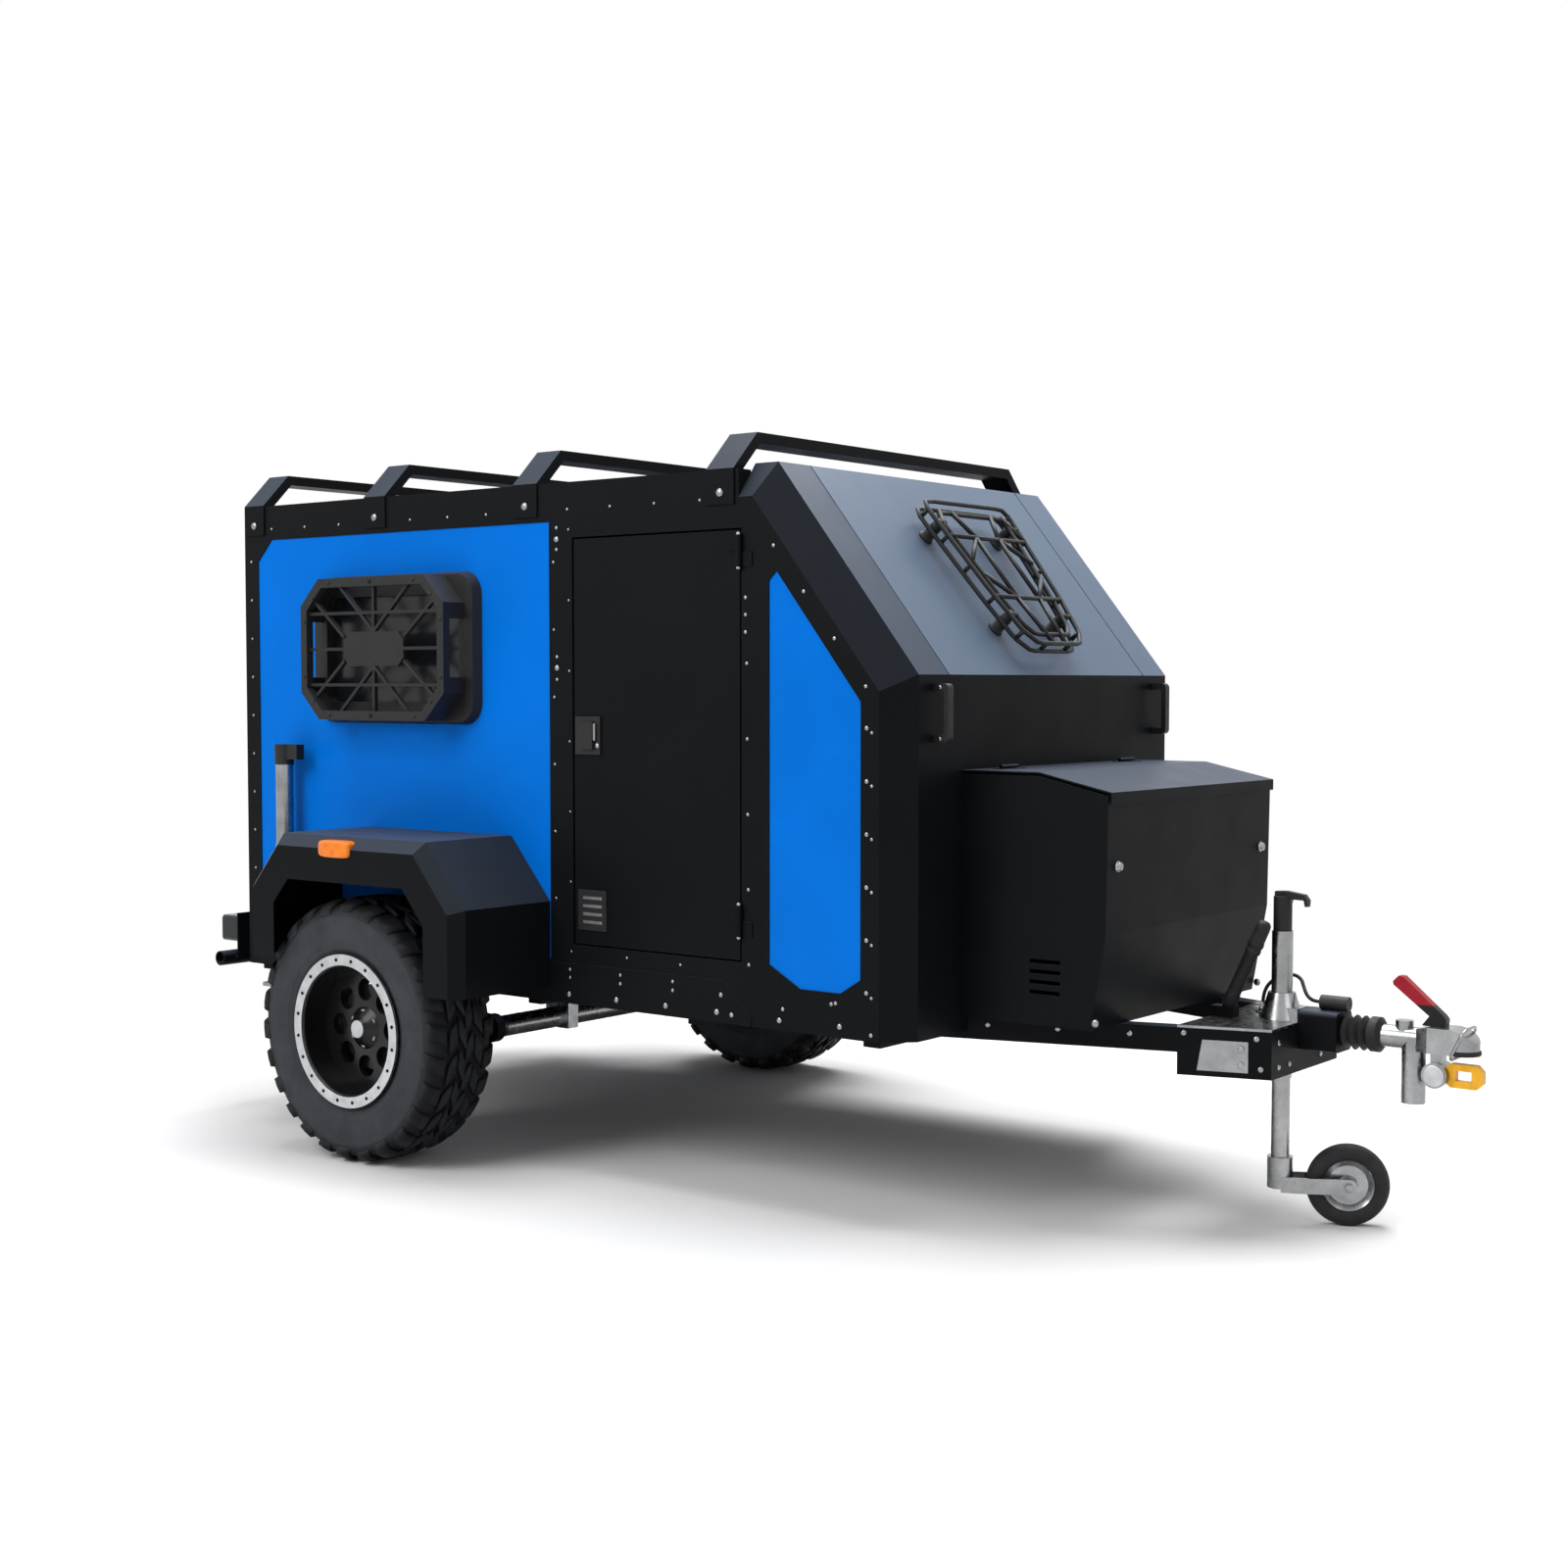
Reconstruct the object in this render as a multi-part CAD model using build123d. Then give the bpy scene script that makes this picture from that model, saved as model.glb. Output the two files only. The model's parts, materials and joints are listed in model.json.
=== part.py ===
from build123d import *
import math
import os

os.makedirs("parts", exist_ok=True)

# Off-road cargo trailer, in millimetres: +X forward to the coupling, +Y left, +Z up, ground at z = 0.
# Every x below is measured from the road wheels' axle, and the whole trailer is shifted at the end so
# that the origin lies on the ground below the middle of its box.

# Body shell
BODY_HALF = 689.0
BODY_REAR = -800.0
BODY_FRONT = 1651.0
SILL_Z = 460.0
WALL = 30.0
TRIM = 3.0
CORNER = 68.0
SLOPE_RUN = 425.5
SLOPE_FOOT_Z = 1343.6
EDGE_FOOT_DROP = 40.6
EDGE_TOP_DROP = 88.6
RIDGE_W = 73.5
RIDGE_RISE = 25.6
ROOF_TOP = 1850.0
ROOF_RAIL_RISE = 8.0
ROOF_RAIL_H = 96.0
ROOF_RAIL_W = 50.0
SEAM_INSET = 131.0
SEAM_W = 5.0
SEAM_DEPTH = 2.0

# Running gear
TYRE_D = 733.0
TYRE_W = 235.0
TREAD_W = 170.0
SHOULDER_W = 222.0
SHOULDER_DROP = 24.0
LUGS = 26
LUG_W = 43.0
LUG_DEPTH = 11.0
LUG_REACH = 52.0
LUG_MIDDLE_GAP = 12.0
RIM_SEAT_D = 381.0
RIM_WALL = 12.0
RIM_W = 214.0
RIM_FLANGE = 9.0
RIM_FLANGE_H = 14.0
DISC_OFFSET = 18.0
DISC_T = 16.0
DISC_DISH = 6.0
RIM_HOLES = 8
RIM_HOLE_D = 62.0
RIM_HOLE_RING_D = 214.0
HUB_D = 118.0
HUB_CAP_D = 66.0
HUB_CAP_PROUD = 34.0
HUB_CAP_BEVEL = 8.0
RING_D = 424.0
RING_W = 30.0
RING_T = 8.0
DRUM_D = 236.0
DRUM_W = 58.0
WHEEL_OUT = 190.0
SPINDLE_D = 50.0
RUNNING_GAP = 0.3

# Trailing-arm axle
AXLE_TUBE_X = 250.0
AXLE_TUBE_Z = 360.0
AXLE_TUBE_D = 60.0
AXLE_TUBE_INSET = 49.0
AXLE_SHAFT_D = 44.0
AXLE_SHAFT_REACH = 20.0
ARM_T = 30.0
ARM_END_R = 40.0
ARM_WEB = 32.0
SADDLE_X = 90.0
SADDLE_Y = 40.0
SADDLE_DEPTH = 32.0

# Chassis and drawbar
RAIL_TOP = 500.0
RAIL_H = 60.0
RAIL_W = 50.0
RAIL_Y = 420.0
CHASSIS_STEP = 61.0
CROSS_W = 50.0
CROSS_PLACES = [-750.0, -240.0, 400.0, 980.0, 1540.0]
NOSE_BEHIND_BOX = 88.0
NOSE_LEN = 214.0
NOSE_Y = 189.0
NOSE_DROP = 54.0
NOSE_PLATE = 6.0
NOSE_WALL = 8.0

# Blue panels left bare by the black trim: borders from the body's edges and from the doorway
REAR_PANEL_BORDER = 63.0
REAR_PANEL_FRONT = 92.0
REAR_PANEL_FOOT = 115.0
REAR_PANEL_HEAD = 7.0
REAR_PANEL_CUT = 64.0
FRONT_PANEL_BACK = 92.0
FRONT_PANEL_BORDER = 54.0
FRONT_PANEL_SLOPE = 74.0
FRONT_PANEL_FOOT = 109.0
FRONT_PANEL_CUTS = [(98.0, 54.0), (60.0, 38.0)]
FRONT_PANEL_TIP = 24.0
SILL_PLATE_H = 110.0
SILL_PLATE_FRONT = 37.0
SILL_PLATE_CUT = 86.0
SILL_PLATE_T = 2.0

# Doors, hatch and hinges
DOOR_X = (586.0, 1156.0)
DOOR_FOOT = 165.0
DOOR_HEAD = 57.0
DOOR_T = 36.0
DOOR_GAP = 5.0
DOOR_LATCH_GAP = 7.0
HATCH_INSET = 136.0
HATCH_FOOT = 47.0
HATCH_HEAD = 32.0
HATCH_GAP = 8.0
HINGE_R = 7.5
HINGE_PIN_R = 3.0
HINGE_LEAF = 38.0
HINGE_LEAF_T = 3.0
HINGE_LEN = 78.0
HINGE_SEAT = 0.5
DOOR_HINGE_LOW = 100.0
DOOR_HINGE_HIGH = 53.0
HATCH_HINGE_INSET = 173.0
LOCK_AT = (8.0, 508.0)
LOCK_SIZE = (89.0, 101.0)
LOCK_T = 6.0
PADDLE_INSET = (20.0, 14.0)
PADDLE_T = 9.0
VENT_AT = (14.0, 39.0)
VENT_SIZE = (102.0, 108.0)
VENT_T = 4.0
VENT_BORDER = 16.0
LOUVRES = 4
LOUVRE_H = 9.0

# Side windows and their guards
WINDOW_X = (-450.0, 233.0)
WINDOW_DROP = 128.0
WINDOW_H = 428.0
WINDOW_R = 66.0
WINDOW_LIP = 35.0
WINDOW_BORDER = 62.0
WINDOW_PROUD = 30.0
WINDOW_TAPER = 14.0
GLASS_R = 22.0
GLASS_T = 5.0
GUARD_INSET = (40.0, 11.0)
GUARD_CUT = 78.0
GUARD_BAR = 26.0
GUARD_PROUD = 106.0
GUARD_T = 24.0
GUARD_WEB = 8.0
GUARD_WRAP = 44.0
GUARD_ROD = 9.0
GUARD_ROD_T = 12.0
GUARD_RAIL = 0.54
GUARD_PLATE = (252.0, 98.0)
GUARD_PLATE_CUT = 24.0
# Rods from the blank plate to the outer bar: shares of the plate's half sizes, then of the bar's
GUARD_RODS = [(0.0, 1.0, 0.0, 1.0), (0.0, 1.0, 0.54, 1.0), (1.0, 0.7, 0.89, 0.74), (1.0, 0.0, 1.0, 0.0)]

# Roof hoops
HOOP_X = [-793.0, -246.0, 363.0, 1050.0]
HOOP_W = 90.0
HOOP_FLANGE_DROP = 88.0
HOOP_FLANGE_T = 5.0
HOOP_RISE = 99.0
HOOP_BEND_RISE = 2.0
HOOP_LEAN = 91.0
HOOP_T = 28.0

# Wheel-arch fenders: the outline's corners, then the feet behind and before
FENDER = [(-370, 757), (-239, 904), (342, 904), (489, 732)]
FENDER_LOW = (550.0, 500.0)
FENDER_REACH = 346.0
FENDER_BEVEL = (35.0, 32.0)
FENDER_LIP = 36.0
FENDER_T = 4.0
MARKER_X = (-45.0, 80.0)
MARKER_DROP = 8.0
MARKER_H = 48.0
MARKER_PROUD = 14.0
MARKER_ROUND = 16.0

# Slope rack, its places measured down the slope from its top edge: how far down, half width
RACK_TOP = 150.0
RACK_HALF = [(0.0, 190.0), (30.0, 205.0), (320.0, 172.0), (440.0, 146.0), (480.0, 108.0)]
RACK_LIFT = 62.0
RACK_ROD = 10.0
RACK_INNER = 34.0
RACK_BARS = [120.0, 325.0]
RACK_RAIL_HALF = 56.0
RACK_BRACE_HALF = 96.0
RACK_TAIL_HALF = 30.0
RACK_FEET = [(70.0, 24.0), (380.0, 24.0)]
RACK_FOOT_R = 15.0

# Grab handles
HANDLE_INSET = 71.0
HANDLE_Z = (1180.0, 1322.0)
HANDLE_REACH = 45.0
HANDLE_W = 22.0
HANDLE_T = 14.0
HANDLE_FOOT = 18.0
HANDLE_ROUND = 13.0

# Front box
BOX_HALF = 436.0
BOX_DEPTH = 411.0
BOX_MID = (5.0, 731.0)
BOX_FOOT_INSET = 46.0
BOX_WALL = 3.0
BOX_TOP_Z = 1110.0
BOX_CREASE = 222.0
BOX_LIP_DROP = 43.0
LID_T = 4.0
LID_GAP = 5.0
LID_HINGE_AT = 54.0
LID_LIP = 28.0
LID_HINGE_R = 5.0
LID_HINGE_PIN_R = 2.0
LID_HINGE_LEAF = 24.0
LID_HINGE_LEAF_T = 2.0
LID_HINGE_INSET = 136.0
BOX_LOUVRE_AT = (199.0, 80.0)
BOX_LOUVRE_W = 84.0
BOX_LOUVRE_H = 10.0
BOX_LOUVRE_PITCH = 25.0

# Rear bar and lamps
BAR_BACK = 80.0
BAR_Z = 471.0
BAR_D = 45.0
BAR_WALL = 4.0
BAR_OUT = 52.0
BAR_STAY = (40.0, 36.0)
LAMP_BACK = (118.0, 45.0)
LAMP_OUT = 13.0
LAMP_W = 102.0
LAMP_RISE = 50.0
LAMP_H = 80.0
LAMP_ROUND = 12.0
LAMP_PLATE_T = 5.0
LAMP_PLATE_RISE = 10.0

# Stands beside the rear corners
STAND_AHEAD = 240.0
STAND_OUT = 51.0
STAND_TUBE_Z = (480.0, 1080.0)
STAND_TUBE_R = 25.5
STAND_TUBE_WALL = 3.5
STAND_LEG_TOP = 1040.0
STAND_FOOT_Z = 415.0
STAND_FOOT = 100.0
STAND_FOOT_T = 12.0
STAND_CLAMP_Z = [(600.0, 640.0), (800.0, 840.0)]
STAND_CLAMP_W = 90.0
STAND_CAP_H = 60.0
STAND_CAP_WALL = 3.0
STAND_CAP_SEAT = 8.0
STAND_HANDLE = (74.0, 28.0, 44.0)

# Jockey wheel
JOCKEY_BACK = 62.0
JOCKEY_TUBE_Z = (360.0, 720.0)
JOCKEY_TUBE_R = 25.5
JOCKEY_TUBE_WALL = 2.7
JOCKEY_STEM_TOP = 560.0
JOCKEY_STEM_FOOT = 95.0
CLAMP_H = 64.0
CLAMP_R = (52.0, 33.0)
CLAMP_CHANNEL_HALF = 34.0
CLAMP_CHANNEL_H = 30.0
CLAMP_CHANNEL_BACK = 6.0
CLAMP_BOLT_LEN = 68.0
CLAMP_BOLT_R = 8.0
CLAMP_BOLT_HEAD = (15.0, 14.0)
CLAMP_BOLT_RISE = 20.0
JOCKEY_TURN = 29.2
JOCKEY_TRAIL = 161.6
JOCKEY_D = 200.0
JOCKEY_W = 52.0
JOCKEY_TYRE_SIDES = 32
JOCKEY_TYRE_BEAD = 36.0
JOCKEY_TYRE_TREAD = 26.0
JOCKEY_TYRE_BELLY = 14.0
JOCKEY_TYRE_SHOULDER = 12.0
JOCKEY_RIM_D = 124.0
JOCKEY_RIM_WEB = 16.0
JOCKEY_RIM_LIP = 14.0
JOCKEY_HUB_R = (20.0, 24.0)
JOCKEY_HUB_PROUD = 2.0
JOCKEY_AXLE_R = 7.0
JOCKEY_SLEEVE_R = 31.0
JOCKEY_SLEEVE_TOP = 165.0
JOCKEY_ARM_T = 6.0
JOCKEY_ARM_H = 38.0
JOCKEY_ARM_GAP = 6.0
JOCKEY_ARM_BACK = 36.0
CRANK_H = 84.0
CRANK_INSET = 3.0
CRANK_HOOK_W = 18.0
# Hook of the crank: ahead of the tube's middle, above the crank's head
CRANK_HOOK = [(-18, -26), (-18, 12), (10, 14), (58, 7), (68, -6), (67, -22), (60, -22), (57, -7), (24, -6),
              (18, -26)]

# Coupling: lengths from the nose forward, heights from the draw tube's middle
COUPLING_DROP = 10.0
HOUSING_LEN = 98.0
HOUSING_HALF = 46.0
HOUSING_RISE = (-50.0, 46.0)
HOUSING_ROUND = 14.0
BOOT_LEN = 100.0
BOOT_R = (31.0, 42.0)
BOOT_FOLDS = 3
BOOT_COLLAR = 36.0
BOOT_COLLAR_BEVEL = 8.0
NECK_R = 27.0
NECK_LEN = 88.0
NECK_BOLT_R = 21.0
NECK_BOLT_H = 14.0
NECK_BOLT_BACK = 38.0
HEAD_TO_BALL = 92.0
HEAD_TIP_LEN = 48.0
HEAD_HALF = 40.0
HEAD_RISE = 34.0
HEAD_DROP = 26.0
HEAD_CREST = (62.0, 10.0)
HEAD_NOSE = (27.0, 20.0)
HEAD_TIP_DROP = 8.0
HEAD_OVERRUN = 8.0
BALL_R = 25.4
BALL_DROP = 14.0
POST_BACK = 15.0
POST_R = 28.0
POST_BORE_R = 20.0
POST_BORE_ROOF = 6.0
POST_DROP = 152.0
KNOB_BACK = 48.0
KNOB_DROP = 78.0
KNOB_R = 30.0
KNOB_HALF = 30.0
KNOB_STEM = (12.0, 20.0)
HOOK_AHEAD = (18.0, 108.0)
HOOK_RISE = (-26.0, 30.0)
HOOK_T = 22.0
HOOK_BAR = (26.0, 16.0)
HOOK_CUT = 14.0
# Side of the coupling lever: ahead of the ball's middle, above the draw tube's middle
LEVER_SIDE = [(-85, 34), (-28, 34), (-26, 52), (-33, 61), (-131, 145), (-142, 146), (-156, 132), (-154, 124),
              (-67, 57)]
LEVER_W = 24.0

# Handbrake lever beside the jockey tube: run forward, then the profile along it as (share, radius)
BRAKE_AHEAD = 26.0
BRAKE_Y = -60.0
BRAKE_RUN = 108.0
BRAKE_TIP_Z = 742.0
BRAKE_LINE = [(0.0, 13.0), (0.72, 13.0), (0.72, 18.0), (0.745, 18.0), (0.755, 14.0), (0.77, 18.0),
              (0.785, 14.0), (0.80, 18.0), (0.815, 14.0), (0.84, 17.0), (0.97, 17.0), (1.0, 12.0)]
BRAKE_FOOT = (60.0, 32.0, 26.0)
BRAKE_FOOT_BACK = 26.0

# Lighting lead: from its gland in the nose plate, round the jockey tube, to the plug on the housing.
# Its points are measured from the tube's middle line, at the top of the nose plate.
LEAD_D = 9.0
LEAD_BEND = 0.45
LEAD = [(-66, 34, 20), (-66, 34, 44), (-57, 44, 74), (-30, 60, 96), (2, 64, 100), (28, 50, 92),
        (42, 32, 76), (56, 16, 61), (71, 5, 52), (87, 0, 48.3), (103, 0, 48.3)]
PLUG_R = 18.0
PLUG_LEN = 70.0

# Worked out from the sizes above
SKIN_Y = BODY_HALF - TRIM
INNER_Y = SKIN_Y - WALL
FACE_HALF = BODY_HALF - CORNER
SIDE_FRONT = BODY_FRONT - CORNER
RIDGE_X = BODY_FRONT - SLOPE_RUN
RIDGE_BACK = RIDGE_X - RIDGE_W
RIDGE_Z = ROOF_TOP + RIDGE_RISE
EDGE_FOOT_Z = SLOPE_FOOT_Z - EDGE_FOOT_DROP
EDGE_TOP_Z = RIDGE_Z - EDGE_TOP_DROP
RAIL_CROWN = ROOF_TOP + ROOF_RAIL_RISE
WALL_TOP = RAIL_CROWN - ROOF_RAIL_H
TRACK_HALF = BODY_HALF + WHEEL_OUT
TYRE_R = TYRE_D / 2
RAIL_FOOT = RAIL_TOP - RAIL_H
FLOOR_TOP = RAIL_TOP + WALL
NOSE_TOP = RAIL_TOP + NOSE_PLATE
CHASSIS_FRONT = BODY_FRONT - CHASSIS_STEP
BOX_FRONT = BODY_FRONT + BOX_DEPTH
NOSE_BACK = BOX_FRONT + NOSE_BEHIND_BOX
NOSE_X = NOSE_BACK + NOSE_LEN
JOCKEY_X = NOSE_X - JOCKEY_BACK
COUPLING_Z = RAIL_TOP - COUPLING_DROP
HOUSING_FRONT = NOSE_X + HOUSING_LEN
BOOT_FRONT = HOUSING_FRONT + BOOT_LEN
NECK_FRONT = BOOT_FRONT + NECK_LEN
BALL_X = NECK_FRONT + HEAD_TO_BALL
HEAD_TIP = BALL_X + HEAD_TIP_LEN
KNOB_X = BALL_X - KNOB_BACK
KNOB_Z = COUPLING_Z - KNOB_DROP
DOOR_Z = (SILL_Z + DOOR_FOOT, WALL_TOP - DOOR_HEAD)
HATCH_HALF = BODY_HALF - HATCH_INSET
HATCH_Z = (RAIL_TOP + HATCH_FOOT, WALL_TOP - HATCH_HEAD)
WINDOW_Z = (WALL_TOP - WINDOW_DROP - WINDOW_H, WALL_TOP - WINDOW_DROP)
FENDER_Y = BODY_HALF + FENDER_REACH
BAR_X = BODY_REAR - BAR_BACK
FRONT_REACH = KNOB_X + HOOK_AHEAD[1]
REAR_REACH = BODY_REAR - LAMP_BACK[0]
ORIGIN_SHIFT = -(FRONT_REACH + REAR_REACH) / 2

nodes = {}


def block(x, y, z):
    """A box between three pairs of limits."""
    limits = (x, y, z)
    return Pos(*[(low + high) / 2 for low, high in limits]) * Box(*[high - low for low, high in limits])


def about(middle, size):
    """The limits of a size laid evenly about its middle."""
    return (middle - size / 2, middle + size / 2)


def shrunk(limits, by):
    return (limits[0] + by, limits[1] - by)


def face_of(points):
    return make_face(Polyline(*points, close=True).edges())


def side_plate(outline, y):
    """An outline in (x, z), carried from y[0] to y[1]."""
    return extrude(face_of([(px, y[0], pz) for px, pz in outline]), amount=y[1] - y[0], dir=(0, 1, 0))


def flat_plate(outline, z):
    """An outline in (x, y), carried from z[0] to z[1]."""
    return extrude(face_of([(px, py, z[0]) for px, py in outline]), amount=z[1] - z[0], dir=(0, 0, 1))


def cross_plate(outline, x):
    """An outline in (y, z), carried from x[0] to x[1]."""
    return extrude(face_of([(x[0], py, pz) for py, pz in outline]), amount=x[1] - x[0], dir=(1, 0, 0))


def rounded_plate(x, z, radius, y, taper=0.0):
    """A rectangle in (x, z) with round corners, carried from y[0] to y[1] and drawn in by taper degrees."""
    middle = Pos((x[0] + x[1]) / 2, y[0], (z[0] + z[1]) / 2)
    face = middle * Rot(-90, 0, 0) * RectangleRounded(x[1] - x[0], z[1] - z[0], radius)
    return extrude(face, amount=y[1] - y[0], taper=taper)


def rod(start, end, radius):
    """A round bar between two points."""
    run = Vector(*end) - Vector(*start)
    bar = Cylinder(radius, run.length, align=(Align.CENTER, Align.CENTER, Align.MIN))
    return Plane(origin=start, z_dir=run) * bar


def turned(profile, centre):
    """A closed profile of (radius, y) points, turned about the line through centre along Y."""
    face = face_of([(radius, along, 0) for radius, along in profile])
    return Pos(*centre) * revolve(face, axis=Axis.Y)


def clipped(x, z, cut):
    """A rectangle with its four corners cut off."""
    (x0, x1), (z0, z1) = x, z
    return [(x0 + cut, z0), (x1 - cut, z0), (x1, z0 + cut), (x1, z1 - cut),
            (x1 - cut, z1), (x0 + cut, z1), (x0, z1 - cut), (x0, z0 + cut)]


def mirrored(profile):
    """A row of points and its mirror image across their second axis, as one closed outline."""
    return profile + [(first, -second) for first, second in reversed(profile)]


def cut_by(shape, point, normal):
    """What lies behind the plane through point that faces along normal."""
    return split(shape, bisect_by=Plane(origin=point, z_dir=normal), keep=Keep.BOTTOM)


def both_sides(name, shape):
    """A left piece and its mirror image on the right."""
    nodes[name + "_left"] = shape
    nodes[name + "_right"] = mirror(shape, about=Plane.XZ)


def pair(shape):
    """A left piece and its mirror image as one group of two solids."""
    return shape + mirror(shape, about=Plane.XZ)


def group(shapes):
    return shapes[0] + shapes[1:]


def sided_ring(profile, sides):
    """A ring of flat sides about Y: the (radius, y) profile drawn out along a side, mitred, and repeated."""
    half_turn = math.pi / sides
    reach = 2 * max(radius for radius, _ in profile) * math.tan(half_turn)
    side = extrude(face_of([(radius, along, 0) for radius, along in profile]), amount=reach, both=True)
    for turn in (half_turn, -half_turn):
        normal = Vector(-math.sin(turn), 0, math.cos(turn))
        side = cut_by(side, (0, 0, 0), normal if turn > 0 else -normal)
    return group([Rot(0, step * 360 / sides, 0) * side for step in range(sides)])


def hinge(plane, radius, pin_radius, leaf, leaf_t):
    """Two hinge halves about the plane's z axis: the fixed leaf lies along +x, the moving one along -x."""
    half = HINGE_LEN / 2
    low, high = (-half, -RUNNING_GAP), (RUNNING_GAP, half)
    rest = -radius - HINGE_SEAT
    fixed = rod((0, 0, low[0]), (0, 0, low[1]), radius) + block((0, leaf), (rest, rest + leaf_t), low)
    fixed += rod((0, 0, low[0]), (0, 0, high[1]), pin_radius)
    moving = rod((0, 0, high[0]), (0, 0, high[1]), radius) + block((-leaf, 0), (rest, rest + leaf_t), high)
    moving -= rod((0, 0, low[0]), (0, 0, high[1] + leaf), pin_radius + RUNNING_GAP)
    return plane * fixed, plane * moving


# Wheels

def tyre_form():
    """Casing with flat sides and a row of lugs over each shoulder, the two rows half a pitch apart."""
    seat, flange = RIM_SEAT_D / 2, RIM_SEAT_D / 2 + RIM_FLANGE_H + RUNNING_GAP
    bead = RIM_W / 2 - RIM_FLANGE - RUNNING_GAP
    belly = (seat + TYRE_R) / 2
    base, sunk = TYRE_R - LUG_DEPTH, LUG_DEPTH / 2
    shoulder = (base - SHOULDER_DROP, SHOULDER_W / 2 - sunk)
    casing = [(seat, bead), (flange, bead), (belly, TYRE_W / 2), shoulder, (base, TREAD_W / 2 - sunk)]
    tyre = sided_ring(mirrored(casing), 2 * LUGS)
    lug_foot, middle = TYRE_R - LUG_REACH, LUG_MIDDLE_GAP / 2
    deep = base - LUG_DEPTH
    lug_face = face_of([(radius, along, 0) for radius, along in [
        (deep, middle), (TYRE_R, middle), (TYRE_R, TREAD_W / 2), (TYRE_R - SHOULDER_DROP, SHOULDER_W / 2),
        (lug_foot, SHOULDER_W / 2), (lug_foot, TREAD_W / 2), (deep, TREAD_W / 2 - LUG_DEPTH)]])
    left = extrude(lug_face, amount=LUG_W / 2, both=True)
    right = mirror(left, about=Plane.XZ)
    lugs = []
    for step in range(LUGS):
        lugs.append(Rot(0, step * 360 / LUGS, 0) * left)
        lugs.append(Rot(0, (step + 0.5) * 360 / LUGS, 0) * right)
    return tyre + lugs


def rim_form():
    """Barrel with two flanges, a dished disc with round holes and a hub cap, and the brake drum behind it."""
    barrel, lip = RIM_SEAT_D / 2 - RUNNING_GAP, RIM_SEAT_D / 2 + RIM_FLANGE_H
    inside, edge = barrel - RIM_WALL, RIM_W / 2
    face = DISC_OFFSET + DISC_T
    cap = face + HUB_CAP_PROUD
    origin = (0, 0, 0)
    flange = edge - RIM_FLANGE
    rim = turned(mirrored([(inside, edge), (lip, edge), (lip, flange), (barrel, flange)]), origin)
    cap_r = HUB_CAP_D / 2
    rim += turned([(0, DISC_OFFSET), (inside, DISC_OFFSET), (inside, face), (HUB_D / 2, face + DISC_DISH),
                   (cap_r, cap - HUB_CAP_BEVEL), (cap_r - HUB_CAP_BEVEL, cap), (0, cap)], origin)
    for step in range(RIM_HOLES):
        angle = 2 * math.pi * step / RIM_HOLES
        x, z = RIM_HOLE_RING_D / 2 * math.cos(angle), RIM_HOLE_RING_D / 2 * math.sin(angle)
        rim -= rod((x, 0, z), (x, RIM_W, z), RIM_HOLE_D / 2)
    bore, drum_r = SPINDLE_D / 2 + RUNNING_GAP, DRUM_D / 2
    back = DISC_OFFSET - DRUM_W
    return rim + turned([(bore, back), (drum_r, back), (drum_r, DISC_OFFSET), (bore, DISC_OFFSET)], origin)


def bead_ring_form():
    back, outer = RIM_W / 2, RING_D / 2
    face, inner = back + RING_T, outer - RING_W
    return turned([(inner, back), (outer, back), (outer, face), (inner, face)], (0, 0, 0))


for name, form in (("tyre", tyre_form), ("rim", rim_form), ("bead_ring", bead_ring_form)):
    both_sides(name, Pos(0, TRACK_HALF, TYRE_R) * form())

# Axle
axle_half = BODY_HALF - AXLE_TUBE_INSET
shaft_half = axle_half + AXLE_SHAFT_REACH
arm_y = (shaft_half, shaft_half + ARM_T)


def trailing_arm():
    """Arm from the axle tube's shaft back to the spindle, with a round boss at each end."""
    ends = [(AXLE_TUBE_X, AXLE_TUBE_Z), (0, TYRE_R)]
    arm = group([rod((x, arm_y[0], z), (x, arm_y[1], z), ARM_END_R) for x, z in ends])
    under, over = [(x, z - ARM_WEB) for x, z in ends], [(x, z + ARM_WEB) for x, z in ends]
    arm += side_plate(under + over[::-1], arm_y)
    tip = TRACK_HALF + DISC_OFFSET - RUNNING_GAP
    return arm + rod((0, arm_y[1], TYRE_R), (0, tip, TYRE_R), SPINDLE_D / 2)


nodes["trailing_arms"] = pair(trailing_arm())

axle_tube = group([rod((AXLE_TUBE_X, -half, AXLE_TUBE_Z), (AXLE_TUBE_X, half, AXLE_TUBE_Z), size / 2)
                   for half, size in ((axle_half, AXLE_TUBE_D), (shaft_half, AXLE_SHAFT_D))])
rail_mid = RAIL_Y - RAIL_W / 2
saddle_z = (AXLE_TUBE_Z - SADDLE_DEPTH, RAIL_FOOT)
saddle = block(about(AXLE_TUBE_X, SADDLE_X), about(rail_mid, SADDLE_Y), saddle_z)
nodes["axle_tube"] = axle_tube + pair(saddle)

# Chassis
rail_z = (RAIL_FOOT, RAIL_TOP)
rail_inner = RAIL_Y - RAIL_W
chassis = pair(block((BODY_REAR, CHASSIS_FRONT), (rail_inner, RAIL_Y), rail_z))
nodes["chassis"] = chassis + [block(about(x, CROSS_W), (-INNER_Y, INNER_Y), rail_z) for x in CROSS_PLACES]

drawbar = pair(flat_plate([(CHASSIS_FRONT, rail_inner), (NOSE_X, NOSE_Y - RAIL_W), (NOSE_X, NOSE_Y),
                           (CHASSIS_FRONT, RAIL_Y)], rail_z))
drawbar += block((NOSE_X - NOSE_WALL, NOSE_X), (-NOSE_Y, NOSE_Y), rail_z)
nodes["drawbar"] = drawbar


def rail_edge(x):
    """The drawbar rail's outer edge at a place along it."""
    share = (x - CHASSIS_FRONT) / (NOSE_X - CHASSIS_FRONT)
    return RAIL_Y + share * (NOSE_Y - RAIL_Y)


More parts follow.
